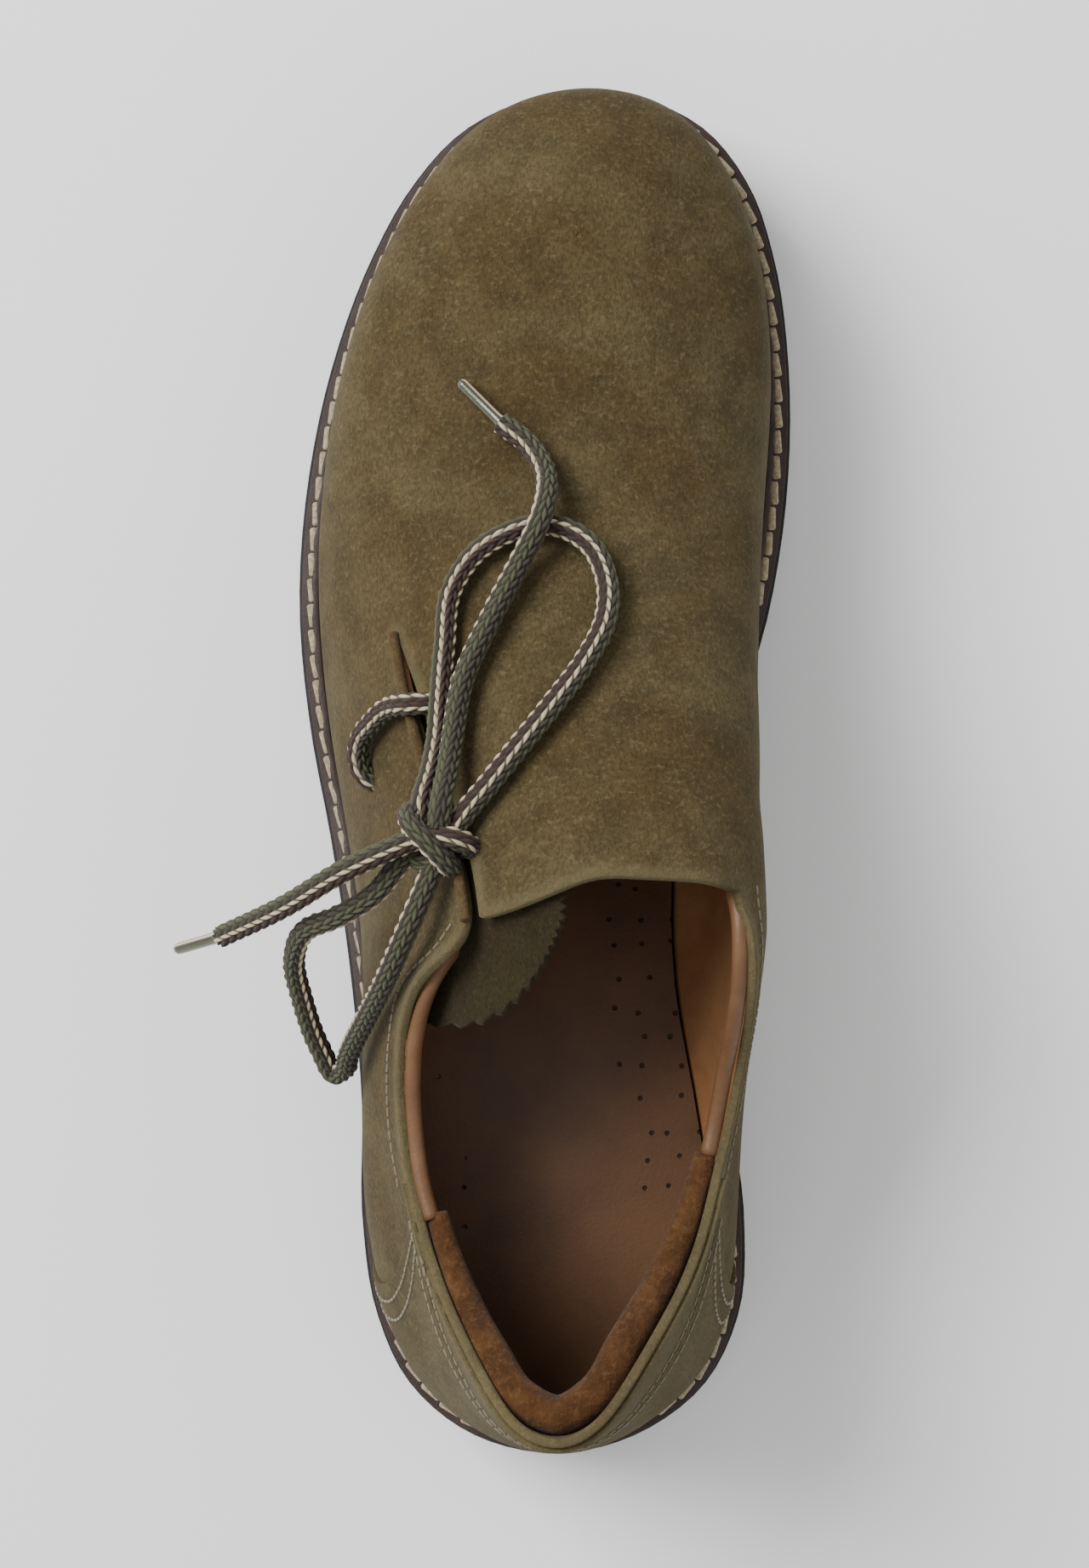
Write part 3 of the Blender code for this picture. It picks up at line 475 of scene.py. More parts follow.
# %% [markdown]
# Suede is leather with its fibres brushed up. It has no shine of its own, but the nap catches light at the
# edges, and where a finger has brushed it the tone changes. Four noises make it: wide brushed patches, a
# mottle of about a centimetre, dark fibres and a light grain. Its cut edges are worn to a lighter tone, and
# the attribute "worn" marks them on the mesh.

# %% Suede
# each suede has four tones: base, dark, warm and light
OLIVE_TONES = ((0.088, 0.067, 0.031), (0.024, 0.018, 0.009), (0.070, 0.047, 0.019), (0.165, 0.140, 0.075))
# the tongue's tones are the olive suede darkened: painted shade, where the tongue lies low inside the shoe
TONGUE_PAINTED_SHADE_TONES = ((0.030, 0.023, 0.011), (0.012, 0.009, 0.005), (0.027, 0.019, 0.009), (0.056, 0.046, 0.025))
TAN_TONES = ((0.088, 0.060, 0.028), (0.040, 0.027, 0.013), (0.080, 0.050, 0.022), (0.150, 0.115, 0.062))
SHEEN_TINT = (0.75, 0.72, 0.55)

# noise scales, in waves per metre
BRUSHED = 30
MOTTLED = 110
FIBROUS = 1900
GRAINY = 1000


def suede(name, base, dark, warm, light):
    finish = Finish(name, 1.0, Sheen_Weight=0.09, Sheen_Roughness=0.5, Specular_IOR_Level=0.08)
    finish.set("Sheen Tint", SHEEN_TINT)
    patches = finish.noise(BRUSHED, 3, 0.55, warp=0.5).above(0.38, 0.62)
    mottle = finish.noise(MOTTLED, 4, 0.65).above(0.38, 0.66)
    fibres = finish.noise(FIBROUS, 3, 0.65, finish.scaled(1, 0.5, 0.8))
    grain = finish.noise(GRAINY, 4, 0.75, finish.scaled(0.8, 1, 1))
    colour = finish.mix(patches, base, warm)
    colour = finish.mix(mottle * 0.40, colour, dark)
    colour = finish.mix(fibres.above(0.42, 0.62) * 0.45, colour, dark)
    colour = finish.mix(grain.above(0.50, 0.72) * 0.42, colour, light)
    edge = (finish.attribute("worn") + (finish.noise(300, 3) - 0.5) * 0.4).above(0.15, 0.95)
    finish.set("Base Color", finish.mix(edge * 0.35, colour, light))
    nap = finish.bump(fibres, 0.55, 0.0004)
    finish.set("Normal", finish.bump(grain + mottle * 0.5, 0.35, 0.0006, nap))
    return finish.material


suede_look = suede("suede", *OLIVE_TONES)
# the tongue's suede carries painted shade in its darker tones
tongue_painted_shade_look = suede("tongue_suede", *TONGUE_PAINTED_SHADE_TONES)
tan_suede_look = suede("tan_suede", *TAN_TONES)

# %% [markdown]
# The rest of the finishes are plainer. Rubber is matt, dark and a little dusty. The midsole's side is tan
# leather fibre in thin layers. The rand, the welt, the lining and its piping are dyed leather with fine
# pores, and the piping is a darker copy of the lining leather, as painted shade. The welt is sewn with cream
# thread and the upper with olive thread.

# %% Rubber, midsole, rand, thread
rubber = Finish("rubber", 0.62, Specular_IOR_Level=0.35)
dust = rubber.noise(90, 4, 0.6).above(0.45, 0.75)
speck = rubber.noise(1400, 2)
rubber.set("Base Color", rubber.mix(dust * 0.35, (0.020, 0.019, 0.020), (0.055, 0.052, 0.052)))
rubber.set("Roughness", 0.55 + speck * 0.25)
rubber.set("Normal", rubber.bump(speck, 0.25, 0.0003))
rubber_look = rubber.material

midsole_side = Finish("midsole_side", 0.7)
layers = midsole_side.noise(60, 4, 0.6, midsole_side.scaled(1, 1, 22))
pores = midsole_side.noise(900, 2)
fibre_tone = midsole_side.mix(layers.above(0.3, 0.7), (0.10, 0.062, 0.036), (0.21, 0.135, 0.080))
midsole_side.set("Base Color", fibre_tone)
midsole_side.set("Normal", midsole_side.bump(layers + pores * 0.4, 0.4, 0.0004))
midsole_side_look = midsole_side.material


def dyed_leather(name, dark, light, roughness=0.55, pore=1100, patch=70):
    finish = Finish(name, roughness, Specular_IOR_Level=0.4)
    cloud = finish.noise(patch, 4, 0.6).above(0.3, 0.75)
    pores = finish.noise(pore, 3, 0.6)
    finish.set("Base Color", finish.mix(cloud, dark, light))
    finish.set("Roughness", roughness - 0.1 + pores * 0.2)
    finish.set("Normal", finish.bump(pores, 0.35, 0.0003))
    return finish.material


rand_look = dyed_leather("rand_leather", (0.022, 0.012, 0.009), (0.048, 0.027, 0.020))
lining_look = dyed_leather("lining_leather", (0.36, 0.165, 0.070), (0.50, 0.26, 0.12), 0.5, 900, 60)
# the piping is the lining leather darkened: painted shade on its upward face
piping_painted_shade_look = dyed_leather("piping_leather_painted_shade", (0.115, 0.054, 0.022), (0.175, 0.088, 0.039), 0.5, 900, 60)
welt_top_look = dyed_leather("welt_top", (0.026, 0.014, 0.010), (0.048, 0.028, 0.021), 0.6)

thread = Finish("thread", 0.75, Sheen_Weight=0.3)
ply = thread.noise(1300, 2, 0.5)
thread.set("Base Color", thread.mix(ply.above(0.35, 0.7), (0.24, 0.185, 0.10), (0.40, 0.33, 0.20)))
thread.set("Normal", thread.bump(ply, 0.5, 0.0002))
thread_look = thread.material

olive_thread = Finish("olive_thread", 0.8, Sheen_Weight=0.3)
olive_ply = olive_thread.noise(1500, 2, 0.5)
olive_thread.set("Base Color", olive_thread.mix(olive_ply, (0.085, 0.065, 0.032), (0.20, 0.165, 0.09)))
olive_thread_look = olive_thread.material

# %% [markdown]
# The insole is a brown leather sock with pinholes. The dots of a Voronoi texture are the holes. They are
# kept to the foot's inner side and to a row along the outer edge. The rough heel lining is made of tufts.

# %% Insole and heel lining
insole = Finish("insole_leather", 0.5, Specular_IOR_Level=0.4)
PINHOLE_PITCH = 0.0066
wear = insole.noise(28, 4, 0.6).above(0.3, 0.75)
grain = insole.noise(1200, 3, 0.6)
leather_colour = insole.mix(wear, (0.078, 0.036, 0.016), (0.140, 0.066, 0.028))
holes = insole.node(
    "ShaderNodeTexVoronoi",
    {"feature": "F1", "voronoi_dimensions": "2D"},
    {"Vector": insole.place(), "Scale": 1 / PINHOLE_PITCH, "Randomness": 0.55},
)
across = insole.part_of(insole.place(), 0)
along = insole.part_of(insole.place(), 1)
inner_side = (across + along * 0.16).above(0.0055, 0.0065) * along.above(-0.092, -0.090)
outer_side = (1 - (across + 0.0215 + along * 0.05).above(-0.0006, 0.0006)) * along.above(-0.100, -0.098)
outer_side = outer_side * (across + 0.0265 + along * 0.05).above(-0.0006, 0.0006)
pinholes = (1 - holes.above(0.055, 0.095)) * (inner_side + outer_side)
insole.set("Base Color", insole.mix(pinholes, leather_colour, (0.008, 0.005, 0.004)))
insole.set("Normal", insole.bump(grain * 0.3 - pinholes * 2, 0.5, 0.0005))
insole_look = insole.material

heel_lining = Finish("heel_lining", 1.0, Sheen_Weight=0.08, Specular_IOR_Level=0.1)
tufts = heel_lining.noise(700, 4, 0.75)
clumps = heel_lining.noise(160, 3, 0.6)
lining_colour = heel_lining.mix(clumps.above(0.3, 0.7), (0.048, 0.020, 0.0065), (0.088, 0.039, 0.013))
lining_colour = heel_lining.mix(tufts.above(0.45, 0.75) * 0.6, lining_colour, (0.15, 0.075, 0.029))
heel_lining.set("Base Color", lining_colour)
heel_lining.set("Normal", heel_lining.bump(tufts + clumps, 0.8, 0.0009))
heel_lining_look = heel_lining.material

# %% [markdown]
# The lace has two cream columns with dark brown between them, and olive columns on its other side. A stepped
# colour ramp over the UV map's first coordinate colours each column. The mesh keeps its modelled relief as
# an attribute, and painted shade from it darkens the gaps between the stitches. The aglets are clear sleeves
# over the same colours, without that painted shade.

# %% Lace and aglets
CREAM = (0.52, 0.44, 0.28)
BROWN = (0.034, 0.014, 0.009)
GREEN = (0.060, 0.064, 0.028)
GREEN_DARK = (0.034, 0.028, 0.016)
BRAID_COLOURS = [CREAM, BROWN, BROWN, CREAM] + [GREEN_DARK, GREEN, GREEN, GREEN_DARK] * 2
STRAND_TONE = (0.06, 0.045, 0.03)
PAINTED_GAP_SHADE = (0.012, 0.009, 0.007)


def braid_look(name, roughness, gap_shade, **constants):
    finish = Finish(name, roughness, **constants)
    round_it = finish.part_of(finish.node("ShaderNodeUVMap"), 0)
    stops = [(k / BRAID_COLUMNS, colour) for k, colour in enumerate(BRAID_COLOURS)]
    columns = finish.node("ShaderNodeValToRGB", {"ramp_steps": "CONSTANT", "stops": stops}, {0: round_it})
    strands = finish.noise(2600, 2)
    raised = finish.attribute("raised")
    # painted shade: the low places between stitches are darkened towards the gap colour
    shade = (1 - raised.above(0.15, 0.65)) * gap_shade
    colour = finish.mix(strands * 0.25, columns, STRAND_TONE)
    finish.set("Base Color", finish.mix(shade, colour, PAINTED_GAP_SHADE))
    finish.set("Normal", finish.bump(strands, 0.4, 0.0002))
    return finish.material


lace_look = braid_look("lace", 0.9, 0.92, Sheen_Weight=0.1)
aglet_look = braid_look("aglet", 0.25, 0.0, Coat_Weight=0.6, Coat_Roughness=0.15)

for piece in (lace_front_end, lace_front_loop, lace_back_end, lace_back_loop, lace_lip, lace_knot):
    finish_piece(piece, "lace", lace_look)
for piece in (aglet_front, aglet_back):
    finish_piece(piece, "aglet", aglet_look)
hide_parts("lace_front_end")
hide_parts("lace_front_loop")
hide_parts("lace_back_end")
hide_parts("lace_back_loop")
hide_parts("lace_bar")
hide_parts("lace_knot")


# %% [markdown]
# The upper is a copy of the CAD shell. Its triangles are paired into squares and subdivided, with the cut
# edges creased so that they stay where they are. A few soft creases are then pressed in, where the foot
# bends and where the lacing pulls, and the sharp corner of the throat is drawn in.

# %% Upper
CUT_ANGLE = 55
upper = copy_node("upper", "upper_suede")
crease_sharp_edges(upper, CUT_ANGLE, 0.75)
subdivide_smooth(upper, 2)

THROAT_CORNER = np.array((41.0, -21.0, 98.0)) * MM
CORNER_REACH = 8 * MM
CORNER_FILL = np.array((-2.3, -2.0, 0.4)) * MM

SOFT_CREASES = [
    # route in mm, half width in mm, depth in mm
    ([(-24, 44, 66), (-10, 37, 80), (6, 34, 86), (20, 36, 82)], 6.0, 0.55),
    ([(22, 22, 86), (36, 18, 70), (44, 20, 52)], 5.0, 0.50),
    ([(-30, 36, 60), (-40, 30, 48), (-46, 26, 38)], 5.0, 0.45),
    ([(34, -2, 90), (42, -8, 66), (40, -12, 48)], 6.0, 0.60),
]


def rows_of(piece):
    """Vertex places and normals as arrays."""
    count = len(piece.data.vertices)
    places, normals = np.empty(count * 3, np.float32), np.empty(count * 3, np.float32)
    piece.data.vertices.foreach_get("co", places)
    piece.data.vertices.foreach_get("normal", normals)
    return places.reshape(-1, 3).astype(float), normals.reshape(-1, 3).astype(float)


def move_to(piece, places):
    """Puts a mesh's vertices at new places."""
    piece.data.vertices.foreach_set("co", places.astype(np.float32).ravel())
    piece.data.update()


def nearest(places, line):
    """Distance from each place to the nearest point of a line."""
    far = np.full(len(places), np.inf)
    for point in line:
        far = np.minimum(far, np.linalg.norm(places - point, axis=1))
    return far


places, normals = rows_of(upper)
for route, half_width, depth in SOFT_CREASES:
    far = nearest(places, smooth_line(route, 1.5 * MM)) / (half_width * MM)
    places -= normals * (depth * MM * np.exp(-(far**2)))[:, None]
near_corner = np.linalg.norm(places - THROAT_CORNER, axis=1) / CORNER_REACH
places += CORNER_FILL * np.exp(-(near_corner**2))[:, None]
move_to(upper, places)

# %% [markdown]
# The shell's inner side is lined. A face belongs to the lining when it looks towards the middle of the foot,
# and the rear of the lining is rough suede instead of smooth leather. The cut edges are listed here too, as
# lines in millimetres, and the suede near them is marked as worn.

# %% Lining and worn edges
THROAT_EDGE = [
    (-13.1, -28.4, 98.3), (-10.3, -27.7, 101.1), (-6.2, -26.2, 104.1), (3.9, -22.0, 107.3),
    (10.1, -19.5, 107.7), (18.1, -19.9, 107.6), (25.2, -20.2, 107.0), (31.4, -20.6, 105.5),
    (36.6, -20.8, 102.7), (40.9, -20.9, 98.3),
]
COLLAR_OUTER = [
    (-14.0, -28.6, 97.3), (-21.7, -36.9, 92.7), (-25.9, -40.6, 88.9), (-29.2, -50.9, 82.1),
    (-30.0, -62.3, 76.1), (-29.6, -73.5, 73.3), (-27.8, -84.8, 73.2), (-24.9, -96.0, 75.6),
    (-20.7, -106.5, 82.7), (-14.8, -116.9, 92.8), (-7.0, -128.3, 102.8), (2.9, -131.7, 106.3),
]
COLLAR_INNER = [
    (40.9, -20.9, 98.3), (41.7, -33.5, 99.4), (42.0, -39.4, 98.0), (41.6, -50.2, 89.6),
    (40.4, -60.6, 80.3), (38.4, -71.9, 76.3), (35.7, -83.3, 76.5), (32.4, -94.8, 81.3),
    (27.4, -105.1, 89.3), (20.6, -115.1, 98.3), (12.1, -127.2, 104.5), (2.9, -131.7, 106.3),
]
SLIT_LOW = [
    (-30.8, 29.1, 65.0), (-28.5, 17.9, 69.5), (-25.3, 6.5, 75.5), (-21.7, -5.3, 81.8),
    (-17.0, -18.0, 90.5), (-15.0, -28.8, 96.1),
]
SLIT_HIGH = [
    (-30.8, 29.1, 65.0), (-26.6, 18.2, 71.6), (-22.8, 7.0, 78.3), (-19.0, -4.7, 84.9),
    (-14.3, -17.5, 93.4), (-13.0, -28.4, 98.5),
]
FOOT_AXIS = [(3, -112, 60), (3, -100, 52), (4, -50, 50), (2, 0, 48), (0, 50, 42), (6, 90, 38), (8, 112, 34)]
HEEL_LINING_FROM = -0.084
LINING = 1
HEEL_LINING = 2


def mark_worn(piece, width):
    """Writes the attribute that lightens the suede near its cut edges."""
    places, _ = rows_of(piece)
    worn = np.zeros(len(places))
    for route in (THROAT_EDGE, COLLAR_OUTER, COLLAR_INNER, SLIT_LOW, SLIT_HIGH):
        far = nearest(places, smooth_line(route, 2 * MM))
        worn = np.maximum(worn, np.exp(-((far / width) ** 2)))
    attribute = piece.data.attributes.new("worn", "FLOAT", "POINT")
    attribute.data.foreach_set("value", worn.astype(np.float32))


def line_inside(piece):
    """Gives the faces that look at the foot's axis the lining's slots."""
    axis = smooth_line(FOOT_AXIS, 5 * MM)
    for face in piece.data.polygons:
        centre = np.array(face.center)
        middle = axis[np.argmin(np.abs(axis[:, 1] - centre[1]))]
        if (centre - middle) @ np.array(face.normal) < 0:
            face.material_index = HEEL_LINING if centre[1] < HEEL_LINING_FROM else LINING


mark_worn(upper, 3 * MM)
finish_piece(upper, "suede", suede_look, lining_look, heel_lining_look)
line_inside(upper)

# %% [markdown]
# The heel counter and the tab above it are cut from the same suede and sewn on. They are smoothed like the
# upper and pressed on to it: the inner face sinks in a little, and the outer face comes closer.

# %% Heel panels
PANEL_SKIN = 0.9 * MM
PANEL_SINK = 0.25 * MM
PANEL_REACH = 4 * MM
PANEL_THINNING = 0.55
heel_counter = copy_node("heel_counter", "heel_counter_suede")
heel_tab = copy_node("heel_tab", "heel_tab_suede")


def surface_of(*pieces):
    """Search trees over finished pieces."""
    graph = bpy.context.evaluated_depsgraph_get()
    return [BVHTree.FromObject(piece, graph) for piece in pieces]


def press_on(panel, tree):
    """Brings a panel's faces closer to the leather under it, so that no gap shows at its edges."""
    places, _ = rows_of(panel)
    for k, place in enumerate(places):
        ground, normal, _, far = tree.find_nearest(Vector(place))
        if far < PANEL_SKIN:
            places[k] = ground - normal * PANEL_SINK
        elif far < PANEL_REACH:
            places[k] = ground + (Vector(place) - ground) * PANEL_THINNING
    move_to(panel, places)


upper_tree = surface_of(upper)[0]
for panel in (heel_counter, heel_tab):
    crease_sharp_edges(panel, CUT_ANGLE, 0.8)
    subdivide_smooth(panel, 2)
    press_on(panel, upper_tree)
    mark_worn(panel, 3 * MM)
    finish_piece(panel, "suede", suede_look)

# %% [markdown]
# The tongue's rear end hangs into the shoe and reaches further towards the outer side. It is pinked, that
# is cut with a zigzag edge. Its copy is subdivided, stretched and lowered there, and the points along the
# end are drawn in by turns.

# %% Tongue
tongue = copy_node("tongue", "tongue_suede")
crease_sharp_edges(tongue, CUT_ANGLE, 0.9)
subdivide_smooth(tongue, 3)

TONGUE_REAR = -27 * MM
TONGUE_PIVOT = 4.5 * MM
TONGUE_STRETCH = 0.36
TONGUE_DROP = 10 * MM
TONGUE_DROP_AT = 22 * MM
TONGUE_SAG = 8 * MM
TONGUE_SAG_FROM = -32 * MM
PINK_MIDDLE = np.array((-8 * MM, TONGUE_REAR))
PINK_RADIUS = 21 * MM
PINK_PITCH = 3.5 * MM
PINK_DEPTH = 1.3 * MM
PINK_REACH = 5 * MM
PINK_FROM = -21 * MM
BEARING_STEP = 0.02


def behind(y, start, softness):
    """0 in front of a place and 1 behind it, with a soft step."""
    return 1 / (1 + np.exp((y - start) / softness))


places, _ = rows_of(tongue)
rear = behind(places[:, 1], TONGUE_REAR, 3 * MM)
side = np.clip(TONGUE_PIVOT - places[:, 0], 0, None)
places[:, 0] -= side * TONGUE_STRETCH * rear
places[:, 2] -= TONGUE_DROP * rear * (side / TONGUE_DROP_AT) ** 2
places[:, 2] -= TONGUE_SAG * behind(places[:, 1], TONGUE_SAG_FROM, 4 * MM)
from_middle = places[:, :2] - PINK_MIDDLE
bearing = np.arctan2(from_middle[:, 1], from_middle[:, 0])
reach = np.linalg.norm(from_middle, axis=1)
sectors = np.round(bearing / BEARING_STEP).astype(int)
farthest = {}
for sector, far in zip(sectors, reach):
    farthest[sector] = max(farthest.get(sector, 0.0), far)
to_edge = np.array([farthest[sector] for sector in sectors]) - reach
tooth = np.abs((bearing * PINK_RADIUS / PINK_PITCH) % 1.0 - 0.5) * 2
inwards = PINK_DEPTH * tooth * np.clip(1 - to_edge / PINK_REACH, 0, 1) * (places[:, 1] < PINK_FROM)
places[:, :2] -= from_middle / np.maximum(reach, 1e-6)[:, None] * inwards[:, None]
move_to(tongue, places)
mark_worn(tongue, 1 * MM)
finish_piece(tongue, "suede", tongue_painted_shade_look)

# %% [markdown]
# The outsole keeps its CAD form and only gets its finish. The insole is spread by a millimetre until it
# meets the lining, and the midsole is drawn in so that a rim of rubber shows outside it. The midsole's edges
# are rounded, and its top is the dark welt.

# %% Sole
INSOLE_SPREAD = 1.3 * MM
MIDSOLE_INSET = 0.7 * MM
WALL_TILT = 0.3
SOLE_ANGLE = 40


def spread_in_plan(piece, amount):
    """Moves a flat layer's walls outwards in plan."""
    places, normals = rows_of(piece)
    level = np.linalg.norm(normals[:, :2], axis=1)[:, None]
    places[:, :2] += normals[:, :2] / np.maximum(level, 1e-9) * amount * (level > WALL_TILT)
    move_to(piece, places)


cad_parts["outsole"].material_slots[0].material = rubber_look

insole_sock = copy_node("insole", "insole_sock")
spread_in_plan(insole_sock, INSOLE_SPREAD)
finish_piece(insole_sock, "insole_leather", insole_look)
insole_sock.data.set_sharp_from_angle(angle=math.radians(SOLE_ANGLE))

midsole = copy_node("midsole", "midsole_layer")
spread_in_plan(midsole, -MIDSOLE_INSET)
bevel_from = math.radians(50)
apply_modifier(midsole, "BEVEL", width=0.5 * MM, segments=3, limit_method="ANGLE", angle_limit=bevel_from)
finish_piece(midsole, "midsole", midsole_side_look, welt_top_look)
midsole.data.set_sharp_from_angle(angle=math.radians(SOLE_ANGLE))
for face in midsole.data.polygons:
    face.material_index = int(face.normal.z > 0.6)

# %% [markdown]
# A stitch is modelled once, as a short flattened rod with rounded ends. It is copied along a seam, each copy
# with its own mesh and its flat side on the leather, and a seam's stitches are joined into one piece.

# %% Stitch rows


STITCH_ROUNDING = 0.42


def settle(trees, point):
    """The nearest place on the pieces, with its normal."""
    hits = [tree.find_nearest(point) for tree in trees]
    place, normal, _, _ = min((hit for hit in hits if hit[0] is not None), key=lambda hit: hit[3])
    return place, normal


def model_stitch(length, width, height):
    """One stitch at the origin, along X."""
    bpy.ops.object.select_all(action="DESELECT")
    bpy.ops.mesh.primitive_cylinder_add(vertices=10, radius=0.5, depth=1.0)
    stitch = bpy.context.object
    bpy.ops.transform.rotate(value=math.pi / 2, orient_axis="Y", center_override=(0, 0, 0))
    bpy.ops.transform.resize(value=(length, width, height))
    bpy.ops.object.transform_apply(location=True, rotation=True, scale=True)
    bpy.ops.object.mode_set(mode="EDIT")
    bpy.ops.mesh.select_all(action="DESELECT")
    bpy.ops.mesh.select_mode(type="EDGE")
    bpy.ops.mesh.edges_select_sharp(sharpness=math.radians(80))
    bpy.ops.mesh.bevel(offset=STITCH_ROUNDING * height, segments=3)
    bpy.ops.object.mode_set(mode="OBJECT")
    return stitch


def sew(name, places, size, look, slot, tilt=0.0, sink=0.35):
    """Lays stitches at (place, direction, normal) and joins them."""
    height = size[2]
    stitch = model_stitch(*size)
    row = []
    for place, direction, normal in places:
        side = normal.cross(direction).normalized()
        forward = side.cross(normal).normalized()
        turned = Matrix.Rotation(math.radians(tilt), 3, normal)
        basis = turned @ Matrix((forward, side, normal)).transposed()
        copy = stitch.copy()
        copy.data = stitch.data.copy()
        bpy.context.scene.collection.objects.link(copy)
        copy.matrix_world = Matrix.Translation(place + normal * height * (0.5 - sink)) @ basis.to_4x4()
        row.append(copy)
    bpy.data.objects.remove(stitch)
    pick(*row)
    bpy.ops.object.join()
    seam = bpy.context.view_layer.objects.active
    seam.name = name
    bpy.ops.object.transform_apply(location=True, rotation=True, scale=True)
    finish_piece(seam, slot, look)
    return seam


def seam_places(route, pitch, trees):
    """Stitch places along a route in millimetres, settled on the leather."""
    line = smooth_line(route, pitch)
    found = []
    for k, point in enumerate(line):
        ahead, behind = line[min(k + 1, len(line) - 1)], line[max(k - 1, 0)]
        place, normal = settle(trees, Vector(point))
        found.append((place, Vector(ahead - behind).normalized(), normal))
    return found


# %% [markdown]
# The welt's own row of stitches runs all round the sole. Its line is the midsole's outline, read from the
# CAD node and moved inwards. The line starts at the outer side, away from the narrow turns at heel and toe.

# %% Welt stitches
WELT_ROW_INSET = 0.0029
WELT_STITCH = (0.0052, 0.0019, 0.0013)
WELT_PITCH = 0.0056


def outline_of(node, inset):
    """The top outline of a flat layer, moved inwards, as evenly spaced places."""
    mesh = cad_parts[node].data
    corners = np.array([vertex.co for vertex in mesh.vertices])
    rows = {}
    for corner in corners:
        rows.setdefault(round(corner[1] * 1e5), []).append(corner)
    left, right = [], []
    for key in sorted(rows):
        row = np.array(rows[key])
        top = row[row[:, 2] > row[:, 2].max() - 1 * MM]
        left.append(top[top[:, 0].argmin()])
        right.append(top[top[:, 0].argmax()])
    ring = np.array(left + right[::-1])
    turn = np.roll(ring, -1, axis=0) - np.roll(ring, 1, axis=0)
    inward = np.stack([turn[:, 1], -turn[:, 0], np.zeros(len(ring))], axis=1)
    inward /= np.linalg.norm(inward, axis=1)[:, None]
    return ring + inward * inset


WELT_START = 20
welt_line = outline_of("midsole", WELT_ROW_INSET)
welt_knots = np.concatenate([welt_line[WELT_START:], welt_line[: WELT_START + 1]])
welt_points = smooth_line(welt_knots / MM, WELT_PITCH)[:-1]
ahead = np.roll(welt_points, -1, axis=0) - np.roll(welt_points, 1, axis=0)
welt_places = [(Vector(p), Vector(d).normalized(), Vector((0, 0, 1))) for p, d in zip(welt_points, ahead)]
sew("welt_stitches", welt_places, WELT_STITCH, thread_look, "suede", tilt=6, sink=0.3)
print("welt stitches:", len(welt_places))

# %% [markdown]
# The rand is a narrow strip of leather that stands on the welt, against the foot of the upper. Its outer
# face is scalloped: each vertex looks up its place along the welt's line and is drawn in by that place.

# %% Rand
SCALLOP_PITCH = 8.6 * MM
SCALLOP_DEPTH = 0.8 * MM
RAND_ANGLE = 50
rand = copy_node("rand", "rand_scalloped")
crease_sharp_edges(rand, RAND_ANGLE, 0.9)
subdivide_smooth(rand, 2)
places, normals = rows_of(rand)
ring = smooth_line(welt_knots / MM, 1 * MM)
ring_length = np.concatenate([[0], np.cumsum(np.linalg.norm(np.diff(ring[:, :2], axis=0), axis=1))])
nearest_knot = [np.linalg.norm(ring[:, :2] - place[:2], axis=1).argmin() for place in places]
along_ring = ring_length[nearest_knot]
pulled = SCALLOP_DEPTH * (1 - np.abs(np.sin(math.pi * along_ring / SCALLOP_PITCH)))
outward = normals[:, :2] * (np.einsum("ij,ij->i", normals[:, :2], places[:, :2]) > 0)[:, None]
places[:, :2] -= outward * pulled[:, None]
move_to(rand, places)
finish_piece(rand, "rand_leather", rand_look)

# %% [markdown]
# Two rows of fine stitches hold each front edge of the counter, one row runs on both sides of the seam below
# the tab, and one follows the collar.

# %% Seams of the upper
FINE_STITCH = (0.0019, 0.0006, 0.0005)
FINE_PITCH = 0.0025
COUNTER_ROWS = [
    [
        (-37.5, -108.4, 33.6), (-36.6, -111.8, 40.7), (-33.6, -111.7, 49.8), (-30.9, -107.3, 58.8),
        (-28.8, -100.1, 67.4), (-27.6, -94.4, 74.0),
    ],
    [
        (-36.6, -112.3, 33.7), (-35.2, -115.6, 40.9), (-32.2, -115.7, 49.8), (-29.7, -111.5, 58.7),
        (-27.8, -103.8, 67.9), (-26.6, -97.7, 73.4),
    ],
    [
        (41.8, -108.3, 33.7), (41.5, -111.6, 40.6), (39.6, -112.3, 49.4), (38.0, -108.4, 58.4),
        (36.8, -100.6, 67.7), (35.8, -93.6, 74.0),
    ],
    [
        (41.3, -112.3, 33.8), (40.4, -115.6, 40.7), (38.3, -116.4, 49.4), (36.7, -112.6, 58.4),
        (35.8, -104.9, 67.7), (35.1, -97.5, 74.0),
    ],
]
SEAM_ROWS = [
    [
        (-28.3, -92.3, 74.2), (-25.4, -105.7, 74.3), (-20.0, -120.7, 74.3), (-10.4, -134.8, 74.1),
        (2.8, -139.5, 74.1), (15.8, -135.0, 74.2), (26.7, -121.7, 74.3), (33.5, -106.6, 74.2),
        (36.8, -91.7, 74.1),
    ],
    [
        (-26.0, -98.0, 79.7), (-23.9, -104.2, 79.7), (-19.1, -118.2, 79.8), (-10.1, -133.0, 79.7),
        (2.8, -138.0, 79.7), (15.5, -133.0, 79.7), (25.9, -118.9, 79.8), (32.1, -104.3, 79.8),
        (34.0, -97.5, 79.6),
    ],
]
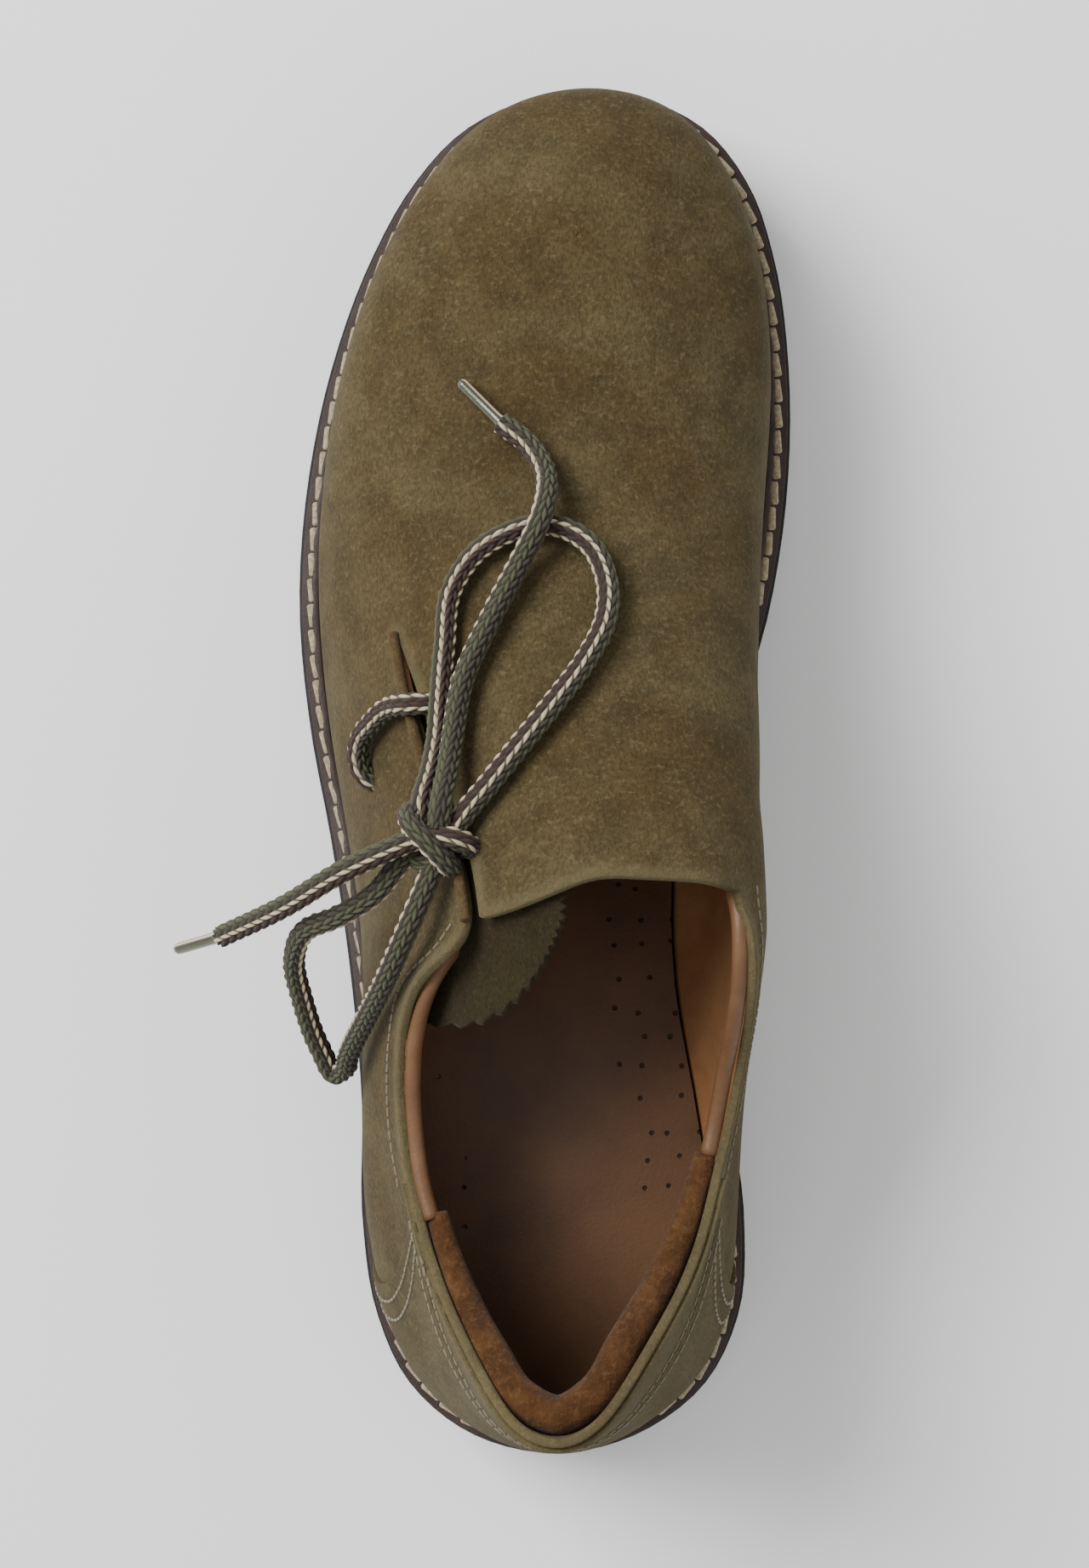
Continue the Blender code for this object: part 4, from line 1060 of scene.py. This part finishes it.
COLLAR_ROWS = [
    [
        (-18.8, -30.6, 91.4), (-22.7, -35.7, 88.7), (-28.4, -41.1, 82.9), (-31.4, -51.5, 76.1),
        (-32.2, -62.8, 70.1), (-31.8, -74.2, 67.3), (-30.2, -84.2, 67.2),
    ],
    [
        (43.5, -22.9, 92.8), (43.5, -30.6, 93.7), (43.1, -39.4, 92.0), (42.3, -50.4, 83.6),
        (41.1, -61.0, 74.3), (39.2, -72.5, 70.3), (37.0, -83.0, 70.4),
    ],
]
leather_trees = surface_of(upper, heel_counter, heel_tab)
seams = {"counter_seams": COUNTER_ROWS, "tab_seams": SEAM_ROWS, "collar_seams": COLLAR_ROWS}
for name, rows in seams.items():
    found = [place for row in rows for place in seam_places(row, FINE_PITCH, leather_trees)]
    sew(name, found, FINE_STITCH, olive_thread_look, "suede", sink=0.3)
    print(name, len(found))

# %% [markdown]
# The outer lip of the slit is folded over a bead, which shows as a rounded tan edge beside the dark gap.

# %% Slit bead
BEAD_RADIUS = 1.15 * MM
BEAD_SHIFT = np.array((-0.6, 0.0, 0.4))
bead_line = smooth_line(np.array(SLIT_LOW) + BEAD_SHIFT, 0.8 * MM)
bead = sweep("slit_bead", bead_line, BEAD_RADIUS, 14)
finish_piece(bead, "suede", tan_suede_look)

# %% [markdown]
# Inside the collar a tan leather piping runs along each side, and round the heel the rough lining is rolled
# over a soft edge. Both are tubes swept just inside the rim. The piping's colour is darkened as painted
# shade.

# %% Piping and heel roll
PIPING_OUTER = [
    (-16.6, -33.0, 84.0), (-22.2, -41.0, 85.3), (-25.7, -50.9, 80.7), (-26.9, -62.3, 74.9),
    (-26.5, -73.5, 72.1), (-25.0, -84.0, 72.1), (-23.0, -91.0, 73.0),
]
PIPING_INNER = [
    (35.0, -16.0, 88.0), (37.6, -24.0, 95.0), (38.4, -28.5, 97.2), (38.6, -33.5, 97.6),
    (38.6, -39.4, 96.0), (37.8, -50.2, 88.0), (36.4, -60.6, 79.0), (34.6, -71.9, 75.0),
    (33.4, -77.5, 74.8),
]
HEEL_ROLL = [
    (-22.0, -90.0, 72.0), (-19.8, -97.5, 74.2), (-15.8, -107.0, 80.2), (-10.6, -115.6, 88.6),
    (-4.4, -123.6, 95.4), (2.9, -126.4, 97.6), (9.8, -122.8, 96.0), (16.2, -113.4, 90.8),
    (22.4, -104.0, 84.0), (27.4, -94.4, 78.0), (31.2, -84.0, 74.4), (32.8, -77.5, 74.2),
]
PIPING_RADIUS = 1.7 * MM
ROLL_END_RADIUS = 2.2 * MM
ROLL_SWELL = 1.8 * MM
TUBE_STEP = 1.2 * MM
for name, route in (("piping_outer", PIPING_OUTER), ("piping_inner", PIPING_INNER)):
    piping = sweep(name, smooth_line(route, TUBE_STEP), PIPING_RADIUS, 18)
    finish_piece(piping, "insole_leather", piping_painted_shade_look)
roll_line = smooth_line(HEEL_ROLL, TUBE_STEP)
roll_share = np.linspace(-1, 1, len(roll_line))
heel_roll = sweep("heel_lining_roll", roll_line, ROLL_END_RADIUS + ROLL_SWELL * (1 - roll_share**2), 22)
finish_piece(heel_roll, "insole_leather", heel_lining_look)

# %% [markdown]
# The room is a flat pale floor under an even sky, with one large soft light from the upper left and a weak
# fill from the right.

# %% Floor and light
FLOOR_SIZE = 6.0
FLOOR_TONE = (0.95, 0.95, 0.95)
SKY_STRENGTH = 0.72
LIT_POINT = Vector((0, 0, 0.03))
bpy.ops.object.select_all(action="DESELECT")
bpy.ops.mesh.primitive_plane_add(size=FLOOR_SIZE)
floor = bpy.context.object
floor.name = "floor"
floor_finish = Finish("floor_paper", 0.9)
floor_finish.set("Base Color", FLOOR_TONE)
floor.data.materials.append(floor_finish.material)

world = bpy.data.worlds.new("room")
world.use_nodes = True
world.node_tree.nodes["Background"].inputs["Color"].default_value = (1, 1, 1, 1)
world.node_tree.nodes["Background"].inputs["Strength"].default_value = SKY_STRENGTH
bpy.context.scene.world = world


def soft_light(name, place, size, power):
    """A square area light that looks at the shoe."""
    data = bpy.data.lights.new(name, "AREA")
    data.shape = "SQUARE"
    data.size = size
    data.energy = power
    lamp = bpy.data.objects.new(name, data)
    lamp.location = place
    aim = LIT_POINT - Vector(place)
    lamp.rotation_euler = aim.to_track_quat("-Z", "Y").to_euler()
    bpy.context.scene.collection.objects.link(lamp)


soft_light("key", (-0.95, 0.6, 1.25), 0.9, 39)
soft_light("fill", (1.1, -0.4, 1.0), 1.2, 1.5)

# %% [markdown]
# Last, the view layer is brought up to date.

# %% Update
bpy.context.view_layer.update()
